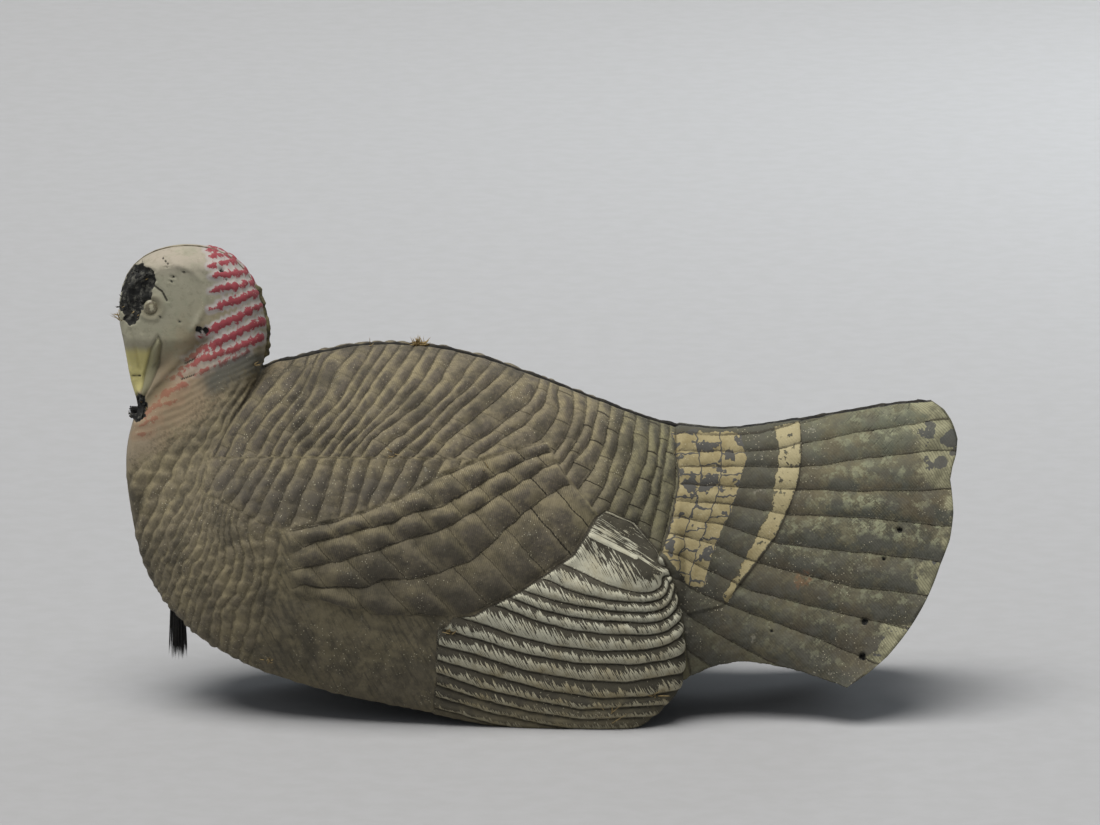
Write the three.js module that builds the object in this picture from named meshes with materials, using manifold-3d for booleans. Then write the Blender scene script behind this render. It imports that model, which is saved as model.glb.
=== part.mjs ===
// A full-size foldable jake turkey decoy: two moulded foam half shells joined along the midline seam,
// open below, with eyes, a stake socket under the back and a bristle beard that swings from the breast.
// Millimetres, +Z up. The bird faces -X and stands on its lower rims; its left side is at -Y.
import * as THREE from "three";
import { mergeVertices } from "three/addons/utils/BufferGeometryUtils.js";
import Module from "manifold-3d";

const wasm = await Module();
wasm.setup();

// ---- driving dimensions ----
const WALL = 6; // foam thickness of the head and body
const TAIL_WALL = 10; // foam thickness of the tail
const SEAM_HALF = 1.5; // each shell's seam face stands this far from the midline
const BEAD_HALF = 1.2; // half thickness of the glue bead between the shells
const BEAD_PROUD = 0.8; // how far the bead stands out of the seam
const BILL_GLUE = 40; // the solid bill is glued across this height
const GAP = 0.3; // clearance between touching pieces
const LEAST_RIM = 0.4; // a closed section still ends in a face this wide
const EDGE_ROUND = 15; // rounding of the head and neck where they meet the seam

// Cross sections from the bill to the tail. Each runs from a point on the upper outline to one on the
// lower outline: [top x, top z, bottom x, bottom z, bow, half width, peak, rim, roundness].
// bow bends the section rearwards, peak is where along it the shell is widest, rim is the half width at
// the open lower edge, and roundness goes from 0, a flat roof slope, to 1, a quarter ellipse.
const SECTIONS = [
  [-370, 342, -370, 338, 0, 1, 0.5, 0, 1],
  [-369, 363, -366, 318, 0, 15, 0.5, 0, 1],
  [-361, 384, -361, 289, 0, 22, 0.45, 0, 1],
  [-344, 399, -355, 267, 0, 26, 0.42, 0, 1],
  [-320, 406, -356, 258, 0, 29, 0.4, 0, 1],
  [-294, 405, -361, 243, 0, 31, 0.4, 0, 1],
  [-272, 396, -364, 228, 0, 33, 0.42, 0, 1],
  [-256, 379, -365, 212, 0, 36, 0.45, 0, 1],
  [-246, 357, -364, 192, 0, 40, 0.5, 0, 1],
  [-241, 331, -361, 170, 0, 47, 0.52, 0, 1],
  [-243, 311, -357, 147, 0, 56, 0.54, 0, 1],
  [-245, 298, -351, 124, 0, 67, 0.55, 0, 1],
  [-234, 302, -340, 101, 0, 80, 0.56, 3, 1],
  [-216, 306, -322, 83, 0, 93, 0.56, 27, 1],
  [-190, 312, -291, 61, 0, 104, 0.58, 52, 1],
  [-155, 318, -238, 40, 0, 112, 0.6, 76, 1],
  [-115, 318, -172, 24, 0, 118, 0.62, 92, 1],
  [-71, 312, -102, 12, 0, 121, 0.64, 102, 0.98],
  [-18, 295, -36, 0, 0, 121, 0.66, 108, 0.95],
  [34, 275, 34, 0, 0, 118, 0.68, 110, 0.9],
  [83, 256, 87, 5, 0, 112, 0.72, 104, 0.8],
  [122, 245, 129, 40, 2, 96, 0.8, 92, 0.65],
  [166, 242, 171, 53, 6, 89, 0.9, 88, 0.5],
  [219, 249, 212, 49, 14, 92, 0.97, 92, 0.4],
  [268, 258, 243, 41, 26, 98, 1, 98, 0.35],
  [312, 265, 262, 36, 38, 105, 1, 105, 0.32],
  [352, 268, 275, 35, 46, 110, 1, 110, 0.3],
];
const HOLLOW_START = 2; // the foam is solid ahead of this section and in the bill
const THROAT = 6; // the section at the corner between the bill and the neck
const RIM_START = 12; // the lower edge is open from this section to the tail
const TAIL_START = 19.5; // the foam thickens from here to the section TAIL_FULL
const TAIL_FULL = 22.5;
const NAPE = 11.25; // the section where the neck meets the back
const LAST = SECTIONS.length - 1;

// Face and wing relief, as places on the side view.
const VALLEY = [[-296, 327], [-349, 270]]; // crease between the jaw and the neck
const VALLEY_DEPTH = 9;
const VALLEY_WIDTH = 8;
const BILL_BASE_Z = 330;
const BILL_THINNING = 0.55;
const WING_END_X = 122; // the folded wing's rear edge
const WING_PAD = 9; // how far the wing stands off the body there

const EYE = [-341, 357];
const EYE_RADIUS = 6.5;
const EYE_DOME = 3;
const EYE_STEM_RADIUS = 2;
const EYE_STEM = 9;

const SOCKET_X = -20; // the stake socket sits at the balance point
const SOCKET_BORE = 6.75; // radius, for a 12.7 mm stake
const SOCKET_WALL = 4;
const SOCKET_LENGTH = 75;
const FLANGE_RADIUS = 32;
const FLANGE = 3;
const FLANGE_TOP_Z = 268;

const PIN = [-321, 116]; // the beard's hinge, x and z
const PIN_RADIUS = 1.6;
const PIN_HALF = 5.6;
const PIN_CLEARANCE = 0.08;
const TAB_WIDTH = 9;
const HANGER_FROM = 10.2; // the hanger is bonded in the breast seam between these sections
const HANGER_TO = 10.85;
const EAR = 2.2; // thickness of each ear of the ferrule
const FERRULE = { width: 15, depth: 9, top: 6, length: 16 };
const BEARD_LENGTH = 74;
const BEARD_TIP_WIDTH = 19;

// ---- colours ----
const foam = (colour) => new THREE.MeshStandardMaterial({ color: colour, roughness: 0.9, metalness: 0 });
const BARK_BROWN = 0x6b6150;
const RAW_FOAM = 0x1d1c1b;
const EYE_BROWN = 0x4a3322;
const BLACK_PLASTIC = 0x121212;
const STEEL = 0x8a8a86;

// ---- curve helpers ----
const clamp = THREE.MathUtils.clamp;
const smooth = THREE.MathUtils.smoothstep;

/** Catmull-Rom through column k of the sections at the fractional section u. */
function column(k, u) {
  const i = Math.min(Math.floor(u), LAST - 1);
  const t = u - i;
  const at = (n) => SECTIONS[clamp(n, 0, LAST)][k];
  const [a, b, c, d] = [at(i - 1), at(i), at(i + 1), at(i + 2)];
  return b + 0.5 * t * (c - a + t * (2 * a - 5 * b + 4 * c - d + t * (3 * (b - c) + d - a)));
}

/** The section at u, as named values, with unit vector along it from top to bottom. */
function sectionAt(u) {
  const [tx, tz, bx, bz, bow, half, peak, rim, round] = SECTIONS[0].map((_, k) => column(k, u));
  const top = new THREE.Vector2(tx, tz);
  const bottom = new THREE.Vector2(bx, bz);
  const along = bottom.clone().sub(top).normalize();
  return { top, bottom, along, bow, half, peak, rim: Math.max(rim, 0), round };
}

/** Rounded rise from the seam: 0 at the outline, 1 from distance EDGE_ROUND on. */
const edge = (distance) => Math.sqrt(1 - (1 - clamp(distance / EDGE_ROUND, 0, 1)) ** 2);

/** Distance from p to the segment a-b. */
function toSegment(x, z, [ax, az], [bx, bz]) {
  const t = clamp(((x - ax) * (bx - ax) + (z - az) * (bz - az)) / ((bx - ax) ** 2 + (bz - az) ** 2), 0, 1);
  return Math.hypot(x - ax - t * (bx - ax), z - az - t * (bz - az));
}

/** Half width of the moulded face at a side-view point: the bill is thin and the jaw is creased. */
function faceRelief(x, z, half, hollow) {
  const [[ax, az], [bx, bz]] = VALLEY;
  const side = ((bx - ax) * (z - az) - (bz - az) * (x - ax)) / Math.hypot(bx - ax, bz - az);
  const inBill = smooth(BILL_BASE_Z - z, 0, 30) * smooth(-side, 2, 16);
  const crease = VALLEY_DEPTH * Math.exp(-((toSegment(x, z, ...VALLEY) / VALLEY_WIDTH) ** 2));
  if (hollow) return half - crease - inBill * (half + 2 * SEAM_HALF);
  return Math.max(half * (1 - BILL_THINNING * inBill) - crease, LEAST_RIM);
}

/** How far the folded wing's rear end stands off the body. */
function wingPad(x, z) {
  const behindEdge = 1 - smooth(x, WING_END_X - 6, WING_END_X + 4);
  const below = 1 - smooth(z, 118 + 0.35 * (x - 30), 150 + 0.35 * (x - 30));
  return WING_PAD * behindEdge * smooth(x, -60, 90) * below;
}

/** Side-view place and half width on section s at v from 0, top, to 1, bottom, inset into the foam. */
function shellPoint(s, u, v, inset = 0) {
  const closed = 1 - smooth(u, RIM_START - 0.6, RIM_START + 0.6);
  const top = s.top.clone().addScaledVector(s.along, inset);
  const bottom = s.bottom.clone().addScaledVector(s.along, -inset * closed);
  const place = top.lerp(bottom, v);
  const bow = s.bow * (1 - Math.abs(2 * v - 1) ** 2.4);
  place.x += bow;
  const half = s.half - inset;
  const rim = Math.max(s.rim - inset, 0) / half;
  const length = s.bottom.distanceTo(s.top) - inset;
  let share;
  if (v < s.peak) share = v / s.peak + s.round * (Math.sqrt(1 - (1 - v / s.peak) ** 2) - v / s.peak);
  else share = rim + (1 - rim) * Math.sqrt(Math.max(0, 1 - ((v - s.peak) / Math.max(1 - s.peak, 1e-6)) ** 2));
  const pillow = edge(v * length) * edge((1 - v) * length);
  const head = 1 - smooth(u, 6, 11.5);
  const width = half * (share + head * (pillow - share));
  const face = u < 9 ? faceRelief(place.x, place.y, width, inset > 0) : width;
  const pad = wingPad(place.x, place.y) * smooth(v, 0.2, 0.5);
  return { x: place.x, z: place.y, half: face + pad };
}

// ---- solids ----
const asSolid = (geometry) => {
  const bare = geometry.clone();
  bare.deleteAttribute("normal");
  bare.deleteAttribute("uv");
  const merged = mergeVertices(bare, 1e-3);
  return new wasm.Manifold(
    new wasm.Mesh({
      numProp: 3,
      vertProperties: merged.attributes.position.array,
      triVerts: new Uint32Array(merged.index.array),
    }),
  );
};

const asGeometry = (solid) => {
  const mesh = solid.getMesh();
  return new THREE.BufferGeometry()
    .setAttribute("position", new THREE.BufferAttribute(new Float32Array(mesh.vertProperties), 3))
    .setIndex(new THREE.BufferAttribute(new Uint32Array(mesh.triVerts), 1));
};

/** A closed loft through rings of equal length, its two ends closed as ladders from first to last point. */
function loft(rings) {
  const n = rings[0].length;
  const positions = rings.flat(2);
  const index = [];
  const quad = (a, b, c, d) => index.push(a, b, c, a, c, d);
  for (let i = 0; i + 1 < rings.length; i++) {
    for (let k = 0; k < n; k++) {
      const next = (k + 1) % n;
      quad(i * n + k, i * n + next, (i + 1) * n + next, (i + 1) * n + k);
    }
  }
  const last = (rings.length - 1) * n;
  for (let k = 0; k < n / 2 - 1; k++) {
    quad(k, n - 1 - k, n - 2 - k, k + 1);
    quad(last + k, last + k + 1, last + n - 2 - k, last + n - 1 - k);
  }
  return new THREE.BufferGeometry()
    .setAttribute("position", new THREE.Float32BufferAttribute(positions, 3))
    .setIndex(index);
}

/** One ring of a half shell: down the outside from the seam to the rim, then back up at y = inner. */
function ring(u, steps, inset, inner, overshoot) {
  const s = sectionAt(u);
  const outside = [];
  const midline = [];
  for (let k = 0; k <= steps; k++) {
    const v = (1 - Math.cos((Math.PI * k) / steps)) / 2;
    const p = shellPoint(s, u, v, inset);
    const half = inset ? p.half : Math.max(p.half, LEAST_RIM);
    const down = k === steps ? overshoot : 0;
    outside.push([p.x + down * s.along.x, -SEAM_HALF - half, p.z + down * s.along.y]);
    midline.push([p.x + down * s.along.x, inner, p.z + down * s.along.y]);
  }
  return [...outside, ...midline.reverse()];
}

const OUTER_STEPS = 20;
const CAVITY_STEPS = 12;
const PER_SECTION = 3;
const SMOOTHING = 0.12; // flat areas are meshed with fewer faces, to within this distance

function outerHalf() {
  const rings = [];
  for (let i = 0; i <= LAST * PER_SECTION; i++) {
    rings.push(ring(Math.max(i / PER_SECTION, 0.06), OUTER_STEPS, 0, -SEAM_HALF, 0));
  }
  return asSolid(loft(rings));
}

/** The hollow of the left half, reaching past the midline, the lower rim and the tail's rear edge. */
function cavityHalf(inset, pastMidline) {
  const rings = [];
  for (let u = HOLLOW_START; u <= LAST; u += 0.5) {
    const open = smooth(u, RIM_START - 0.5, RIM_START + 1);
    const thick = (TAIL_WALL - WALL) * smooth(u, TAIL_START, TAIL_FULL);
    rings.push(ring(u, CAVITY_STEPS, inset + thick, pastMidline, 25 * open));
  }
  const behind = rings.at(-1).map(([x, y, z]) => [x + 40, y, z]);
  return asSolid(loft([...rings, behind]));
}

/** A flat plate centred on the midline, from its side-view outline. */
function plate(outline, half) {
  const shape = new THREE.Shape(outline.map(([x, z]) => new THREE.Vector2(x, z)));
  const extruded = new THREE.ExtrudeGeometry(shape, { depth: 2 * half, bevelEnabled: false });
  return extruded.rotateX(Math.PI / 2).translate(0, half, 0);
}

/** A body of revolution about a vertical line, from a profile of [radius, z]. */
const turned = (profile, segments) =>
  new THREE.LatheGeometry(profile.map(([r, z]) => new THREE.Vector2(r, z)), segments).rotateX(Math.PI / 2);

/** A body of revolution about a line along Y, from a profile of [radius, distance towards -Y]. */
const turnedAcross = (profile, segments) =>
  new THREE.LatheGeometry(profile.map(([r, d]) => new THREE.Vector2(r, d)), segments).rotateX(Math.PI);

const cylinderAcross = (radius, from, to, segments) =>
  turnedAcross([[0, from], [radius, from], [radius, to], [0, to]], segments);

/** Points along the upper or lower outline from section a to b, moved outwards by a distance. */
function outline(which, a, b, outwards, step = 0.5) {
  const count = Math.max(2, Math.round(Math.abs(b - a) / step) + 1);
  return Array.from({ length: count }, (_, i) => {
    const u = a + ((b - a) * i) / (count - 1);
    const s = sectionAt(u);
    const sign = which === "top" ? -1 : 1;
    return [s[which].x + sign * outwards * s.along.x, s[which].y + sign * outwards * s.along.y];
  });
}

// ---- the shells ----
/** Distance of the head's surface from the midline at a side-view place. */
function headHalfAt([x, z]) {
  let nearest = { distance: Infinity };
  for (let u = 0; u < 9; u += 0.1) {
    for (let v = 0; v <= 1; v += 0.02) {
      const p = shellPoint(sectionAt(u), u, v);
      const distance = Math.hypot(p.x - x, p.z - z);
      if (distance < nearest.distance) nearest = { distance, half: p.half };
    }
  }
  return nearest.half + SEAM_HALF;
}
const eyeSurface = headHalfAt(EYE);

function eyeProfile(gap) {
  return [
    [0, -EYE_STEM - gap],
    [EYE_STEM_RADIUS + gap, -EYE_STEM - gap],
    [EYE_STEM_RADIUS + gap, -gap - 2],
    [EYE_RADIUS + gap, -gap - 2],
    [EYE_RADIUS + gap, 0.4],
    [EYE_RADIUS * 0.75, EYE_DOME * 0.7 + gap],
    [EYE_RADIUS * 0.35, EYE_DOME * 0.95 + gap],
    [0, EYE_DOME + gap],
  ];
}
const eyeGeometry = (gap, segments) =>
  turnedAcross(eyeProfile(gap), segments).translate(EYE[0], -eyeSurface + 1, EYE[1]);
const eyePocket = asSolid(eyeGeometry(GAP, 20));

const shellSolid = outerHalf()
  .subtract(cavityHalf(WALL, 10))
  .subtract(eyePocket)
  .trimByPlane([0, 0, 1], 0)
  .simplify(SMOOTHING);
const shellGeometry = asGeometry(shellSolid);

// ---- seam beads ----
const backBead = () => [
  ...outline("top", NAPE + 0.05, LAST, BEAD_PROUD),
  ...outline("top", LAST, NAPE + 0.05, -WALL),
];
const headBead = () => [
  ...outline("top", NAPE - 0.05, 0.3, BEAD_PROUD),
  ...outline("bottom", 0.3, HANGER_FROM - 0.1, BEAD_PROUD),
  ...outline("bottom", HANGER_FROM - 0.1, THROAT, -WALL),
  ...outline("bottom", THROAT - 1, HOLLOW_START + 1, -BILL_GLUE),
  ...outline("top", HOLLOW_START, NAPE - 0.05, -WALL),
];
const breastBead = () => [
  ...outline("bottom", HANGER_TO + 0.25, RIM_START - 0.3, BEAD_PROUD, 0.25),
  ...outline("bottom", RIM_START - 0.3, HANGER_TO + 0.25, -WALL / 2, 0.25),
];

// ---- stake socket ----
function socketDoubler() {
  const block = turned([[0, 0], [FLANGE_RADIUS + 2, 0], [FLANGE_RADIUS + 2, 60], [0, 60]], 32);
  block.translate(SOCKET_X, 0, FLANGE_TOP_Z + GAP);
  const left = cavityHalf(WALL + 0.4, 1);
  const mirrored = asGeometry(left);
  mirrored.scale(1, -1, 1);
  const right = asSolid(new THREE.BufferGeometry()
    .setAttribute("position", mirrored.getAttribute("position"))
    .setIndex([...mirrored.index.array].reverse()));
  return asGeometry(asSolid(block).intersect(left.add(right)));
}

function stakeSocket() {
  const outer = SOCKET_BORE + SOCKET_WALL;
  const foot = FLANGE_TOP_Z - SOCKET_LENGTH;
  const profile = [
    [SOCKET_BORE, foot],
    [outer, foot],
    [outer, FLANGE_TOP_Z - FLANGE],
    [FLANGE_RADIUS, FLANGE_TOP_Z - FLANGE],
    [FLANGE_RADIUS, FLANGE_TOP_Z],
    [0, FLANGE_TOP_Z],
    [0, FLANGE_TOP_Z - FLANGE],
    [SOCKET_BORE, FLANGE_TOP_Z - FLANGE],
    [SOCKET_BORE, foot],
  ];
  return turned(profile, 32).translate(SOCKET_X, 0, 0);
}

// ---- beard ----
const pinX = PIN[0];
const pinZ = PIN[1];

function beardHanger() {
  const seam = outline("bottom", HANGER_FROM, HANGER_TO, 0, 0.3);
  const eyeEnd = Array.from({ length: 9 }, (_, i) => {
    const angle = -Math.PI / 2 + (Math.PI * i) / 8;
    return [pinX + (TAB_WIDTH / 2) * Math.cos(angle), pinZ + (TAB_WIDTH / 2) * Math.sin(angle)];
  });
  const tab = asSolid(plate([...seam, ...eyeEnd], BEAD_HALF));
  const hole = cylinderAcross(PIN_RADIUS + PIN_CLEARANCE, -4, 4, 24).translate(pinX, 0, pinZ);
  return asGeometry(tab.subtract(asSolid(hole)));
}

function beardPin() {
  const head = PIN_RADIUS + 1.4;
  const profile = [
    [0, -PIN_HALF - 1.2],
    [head, -PIN_HALF - 1.2],
    [head, -PIN_HALF],
    [PIN_RADIUS, -PIN_HALF],
    [PIN_RADIUS, PIN_HALF],
    [head, PIN_HALF],
    [head, PIN_HALF + 1.2],
    [0, PIN_HALF + 1.2],
  ];
  return turnedAcross(profile, 24).translate(pinX, 0, pinZ);
}

/** An upright prism with rounded corners, from its widths along X and Y at the foot and at the top. */
function tapered(foot, top, z0, z1, sides = 20) {
  const rings = [[foot, z0], [top, z1]].map(([[wx, wy], z]) =>
    Array.from({ length: sides }, (_, i) => {
      const a = (2 * Math.PI * i) / sides;
      const squared = (c) => Math.sign(c) * Math.abs(c) ** 0.6;
      return [pinX + (wx / 2) * squared(Math.cos(a)), (wy / 2) * squared(Math.sin(a)), z];
    }));
  const index = [];
  for (let i = 0; i < sides; i++) {
    const j = (i + 1) % sides;
    index.push(i, j, sides + j, i, sides + j, sides + i);
  }
  for (let i = 1; i + 1 < sides; i++) {
    index.push(0, i + 1, i, sides, sides + i, sides + i + 1);
  }
  return new THREE.BufferGeometry()
    .setAttribute("position", new THREE.Float32BufferAttribute(rings.flat(2), 3))
    .setIndex(index);
}

const ferruleTop = pinZ - FERRULE.top;
const ferruleFoot = ferruleTop - FERRULE.length;

function beardFerrule() {
  const { width, depth } = FERRULE;
  const body = asSolid(tapered([width, depth], [width - 2, depth + 1.6], ferruleFoot, ferruleTop));
  const pocket = asSolid(tapered([width - 2.4, depth - 2.4], [width - 3.4, depth - 2.4],
    ferruleFoot - 1, ferruleTop - 3));
  let solid = body.subtract(pocket);
  for (const side of [-1, 1]) {
    const y = side * (PIN_HALF - EAR / 2 - 0.3);
    const strap = new THREE.BoxGeometry(8, EAR, FERRULE.top + 1).translate(pinX, y, pinZ - FERRULE.top / 2 - 0.5);
    const round = cylinderAcross(4, -y - EAR / 2, -y + EAR / 2, 24).translate(pinX, 0, pinZ);
    solid = solid.add(asSolid(strap)).add(asSolid(round));
  }
  const hole = cylinderAcross(PIN_RADIUS + GAP / 2, -9, 9, 24).translate(pinX, 0, pinZ);
  return asGeometry(solid.subtract(asSolid(hole)));
}

function beardBristles() {
  const top = ferruleTop - 3 - GAP;
  const width = FERRULE.width - 3.4 - 2 * GAP;
  const depth = FERRULE.depth - 2.4 - 2 * GAP;
  return tapered([BEARD_TIP_WIDTH, depth + 2], [width, depth], top - BEARD_LENGTH, top);
}

// ---- assembly ----
const decoy = new THREE.Group();

function add(name, geometry, material, mirrored = false) {
  const mesh = new THREE.Mesh(geometry, material);
  mesh.name = name;
  if (mirrored) mesh.scale.y = -1;
  decoy.add(mesh);
}

const painted = foam(BARK_BROWN);
add("left_shell", shellGeometry, painted);
add("right_shell", shellGeometry, painted, true);
const glue = foam(RAW_FOAM);
add("back_seam_bead", plate(backBead(), BEAD_HALF), glue);
add("head_seam_bead", plate(headBead(), BEAD_HALF), glue);
add("breast_seam_bead", plate(breastBead(), BEAD_HALF), glue);
const eye = new THREE.MeshStandardMaterial({ color: EYE_BROWN, roughness: 0.3, metalness: 0 });
add("left_eye", eyeGeometry(0, 24), eye);
add("right_eye", eyeGeometry(0, 24), eye, true);
add("socket_doubler", socketDoubler(), glue);
const plastic = new THREE.MeshStandardMaterial({ color: BLACK_PLASTIC, roughness: 0.5, metalness: 0 });
add("stake_socket", stakeSocket(), plastic);
add("beard_hanger", beardHanger(), plastic);
add("beard_pin", beardPin(), new THREE.MeshStandardMaterial({ color: STEEL, roughness: 0.4, metalness: 1 }));
add("beard_ferrule", beardFerrule(), plastic);
add("beard_bristles", beardBristles(), foam(BLACK_PLASTIC));

export default decoy;
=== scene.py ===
"""The looks of a worn foam turkey decoy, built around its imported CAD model.

The two half shells are rebuilt as fine skins on the same cross sections as the CAD, with the moulded
feathers as real relief. Lengths in the tables are millimetres in the CAD frame: -X is forwards, +Z up,
and the left side is at -Y. Meshes are made in metres.
"""
import math

import bpy
import numpy as np
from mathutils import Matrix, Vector


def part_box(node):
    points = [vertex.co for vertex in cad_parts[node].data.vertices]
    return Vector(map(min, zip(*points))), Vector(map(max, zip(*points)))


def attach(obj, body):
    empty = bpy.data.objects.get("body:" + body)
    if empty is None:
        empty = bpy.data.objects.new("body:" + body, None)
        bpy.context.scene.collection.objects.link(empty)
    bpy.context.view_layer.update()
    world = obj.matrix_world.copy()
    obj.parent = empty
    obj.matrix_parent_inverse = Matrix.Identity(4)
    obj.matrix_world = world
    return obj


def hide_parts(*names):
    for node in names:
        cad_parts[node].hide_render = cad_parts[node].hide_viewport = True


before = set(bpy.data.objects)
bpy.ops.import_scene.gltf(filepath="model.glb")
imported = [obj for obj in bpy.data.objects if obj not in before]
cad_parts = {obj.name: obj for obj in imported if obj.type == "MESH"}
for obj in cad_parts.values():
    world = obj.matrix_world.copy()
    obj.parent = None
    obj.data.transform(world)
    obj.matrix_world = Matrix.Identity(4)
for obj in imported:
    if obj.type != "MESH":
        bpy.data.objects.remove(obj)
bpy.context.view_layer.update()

MM = 0.001
rng = np.random.default_rng(7)

# ---- the moulded form, as in the CAD ----
WALL = 6.0
TAIL_WALL = 10.0
SEAM_HALF = 1.5
LEAST_RIM = 0.4
EDGE_ROUND = 15.0
HOLLOW_START = 2.0
RIM_START = 12.0
NAPE = 11.25
TAIL_START, TAIL_FULL = 19.5, 22.5
# top x, top z, bottom x, bottom z, bow, half width, peak, rim, roundness
SECTIONS = np.array([
    (-370, 342, -370, 338, 0, 1, 0.5, 0, 1),
    (-369, 363, -366, 318, 0, 15, 0.5, 0, 1),
    (-361, 384, -361, 289, 0, 22, 0.45, 0, 1),
    (-344, 399, -355, 267, 0, 26, 0.42, 0, 1),
    (-320, 406, -356, 258, 0, 29, 0.4, 0, 1),
    (-294, 405, -361, 243, 0, 31, 0.4, 0, 1),
    (-272, 396, -364, 228, 0, 33, 0.42, 0, 1),
    (-256, 379, -365, 212, 0, 36, 0.45, 0, 1),
    (-246, 357, -364, 192, 0, 40, 0.5, 0, 1),
    (-241, 331, -361, 170, 0, 47, 0.52, 0, 1),
    (-243, 311, -357, 147, 0, 56, 0.54, 0, 1),
    (-245, 298, -351, 124, 0, 67, 0.55, 0, 1),
    (-234, 302, -340, 101, 0, 80, 0.56, 3, 1),
    (-216, 306, -322, 83, 0, 93, 0.56, 27, 1),
    (-190, 312, -291, 61, 0, 104, 0.58, 52, 1),
    (-155, 318, -238, 40, 0, 112, 0.6, 76, 1),
    (-115, 318, -172, 24, 0, 118, 0.62, 92, 1),
    (-71, 312, -102, 12, 0, 121, 0.64, 102, 0.98),
    (-18, 295, -36, 0, 0, 121, 0.66, 108, 0.95),
    (34, 275, 34, 0, 0, 118, 0.68, 110, 0.9),
    (83, 256, 87, 5, 0, 112, 0.72, 104, 0.8),
    (122, 245, 129, 40, 2, 96, 0.8, 92, 0.65),
    (166, 242, 171, 53, 6, 89, 0.9, 88, 0.5),
    (219, 249, 212, 49, 14, 92, 0.97, 92, 0.4),
    (268, 258, 243, 41, 26, 98, 1, 98, 0.35),
    (312, 265, 262, 36, 38, 105, 1, 105, 0.32),
    (352, 268, 275, 35, 46, 110, 1, 110, 0.3),
], float)
LAST = len(SECTIONS) - 1
VALLEY = ((-296, 327), (-349, 270))
VALLEY_DEPTH, VALLEY_WIDTH = 9.0, 8.0
BILL_BASE_Z = 330.0
BILL_THINNING = 0.55
WING_END_X = 122.0
WING_PAD = 9.0
EYE = (-341.0, 357.0)

ALONG, DOWN, INNER_DOWN = 540, 236, 28  # skin vertices along the bird, down the outside and the inside


def smooth(value, low, high):
    t = np.clip((value - low) / (high - low), 0, 1)
    return t * t * (3 - 2 * t)


def sections_at(u):
    """Catmull-Rom through the section table, as arrays of its columns."""
    i = np.minimum(np.floor(u).astype(int), LAST - 1)
    t = (u - i)[..., None]
    a, b, c, d = (SECTIONS[np.clip(i + k, 0, LAST)] for k in (-1, 0, 1, 2))
    values = b + 0.5 * t * (c - a + t * (2 * a - 5 * b + 4 * c - d + t * (3 * (b - c) + d - a)))
    return np.moveaxis(values, -1, 0)


def to_segment(x, z, a, b):
    ax, az = a
    bx, bz = b
    length = (bx - ax) ** 2 + (bz - az) ** 2
    t = np.clip(((x - ax) * (bx - ax) + (z - az) * (bz - az)) / max(length, 1e-9), 0, 1)
    return np.hypot(x - ax - t * (bx - ax), z - az - t * (bz - az)), t


def in_bill(x, z):
    (ax, az), (bx, bz) = VALLEY
    side = ((bx - ax) * (z - az) - (bz - az) * (x - ax)) / math.hypot(bx - ax, bz - az)
    return smooth(BILL_BASE_Z - z, 0, 30) * smooth(-side, 2, 16)


def face_relief(x, z, half, hollow):
    crease = VALLEY_DEPTH * np.exp(-((to_segment(x, z, *VALLEY)[0] / VALLEY_WIDTH) ** 2))
    if hollow:
        return half - crease - in_bill(x, z) * (half + 2 * SEAM_HALF)
    return np.maximum(half * (1 - BILL_THINNING * in_bill(x, z)) - crease, LEAST_RIM)


def wing_pad(x, z):
    behind_edge = 1 - smooth(x, WING_END_X - 6, WING_END_X + 4)
    below = 1 - smooth(z, 118 + 0.35 * (x - 30), 150 + 0.35 * (x - 30))
    return WING_PAD * behind_edge * smooth(x, -60, 90) * below


def edge(distance):
    return np.sqrt(1 - (1 - np.clip(distance / EDGE_ROUND, 0, 1)) ** 2)


def surface(u, v, inset=0.0):
    """Side-view place and half width of the shell at section u and fraction v from top to bottom."""
    tx, tz, bx, bz, bow, half, peak, rim, roundness = sections_at(u)
    length = np.hypot(bx - tx, bz - tz)
    ax, az = (bx - tx) / length, (bz - tz) / length
    closed = 1 - smooth(u, RIM_START - 0.6, RIM_START + 0.6)
    tx, tz = tx + ax * inset, tz + az * inset
    bx, bz = bx - ax * inset * closed, bz - az * inset * closed
    x = tx + (bx - tx) * v + bow * (1 - np.abs(2 * v - 1) ** 2.4)
    z = tz + (bz - tz) * v
    half = half - inset
    rim = np.maximum(np.maximum(rim, 0) - inset, 0) / half
    length = np.hypot(bx - tx, bz - tz)
    t = np.clip(v / peak, 0, 1)
    upper = t + roundness * (np.sqrt(1 - (1 - t) ** 2) - t)
    past = np.clip((v - peak) / np.maximum(1 - peak, 1e-6), 0, 1)
    lower = rim + (1 - rim) * np.sqrt(1 - past**2)
    share = np.where(v < peak, upper, lower)
    head = 1 - smooth(u, 6, 11.5)
    width = half * (share + head * (edge(v * length) * edge((1 - v) * length) - share))
    width = np.where(u < 9, face_relief(x, z, width, np.any(inset > 0)), width)
    width = width + wing_pad(x, z) * smooth(v, 0.2, 0.5)
    return x, z, width


def points(u, v, inset=0.0):
    x, z, half = surface(u, v, inset)
    half = np.maximum(half, LEAST_RIM if np.ndim(inset) == 0 and inset == 0 else 0)
    return np.stack([x, -SEAM_HALF - half, np.maximum(z, 0)], axis=-1)


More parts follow.
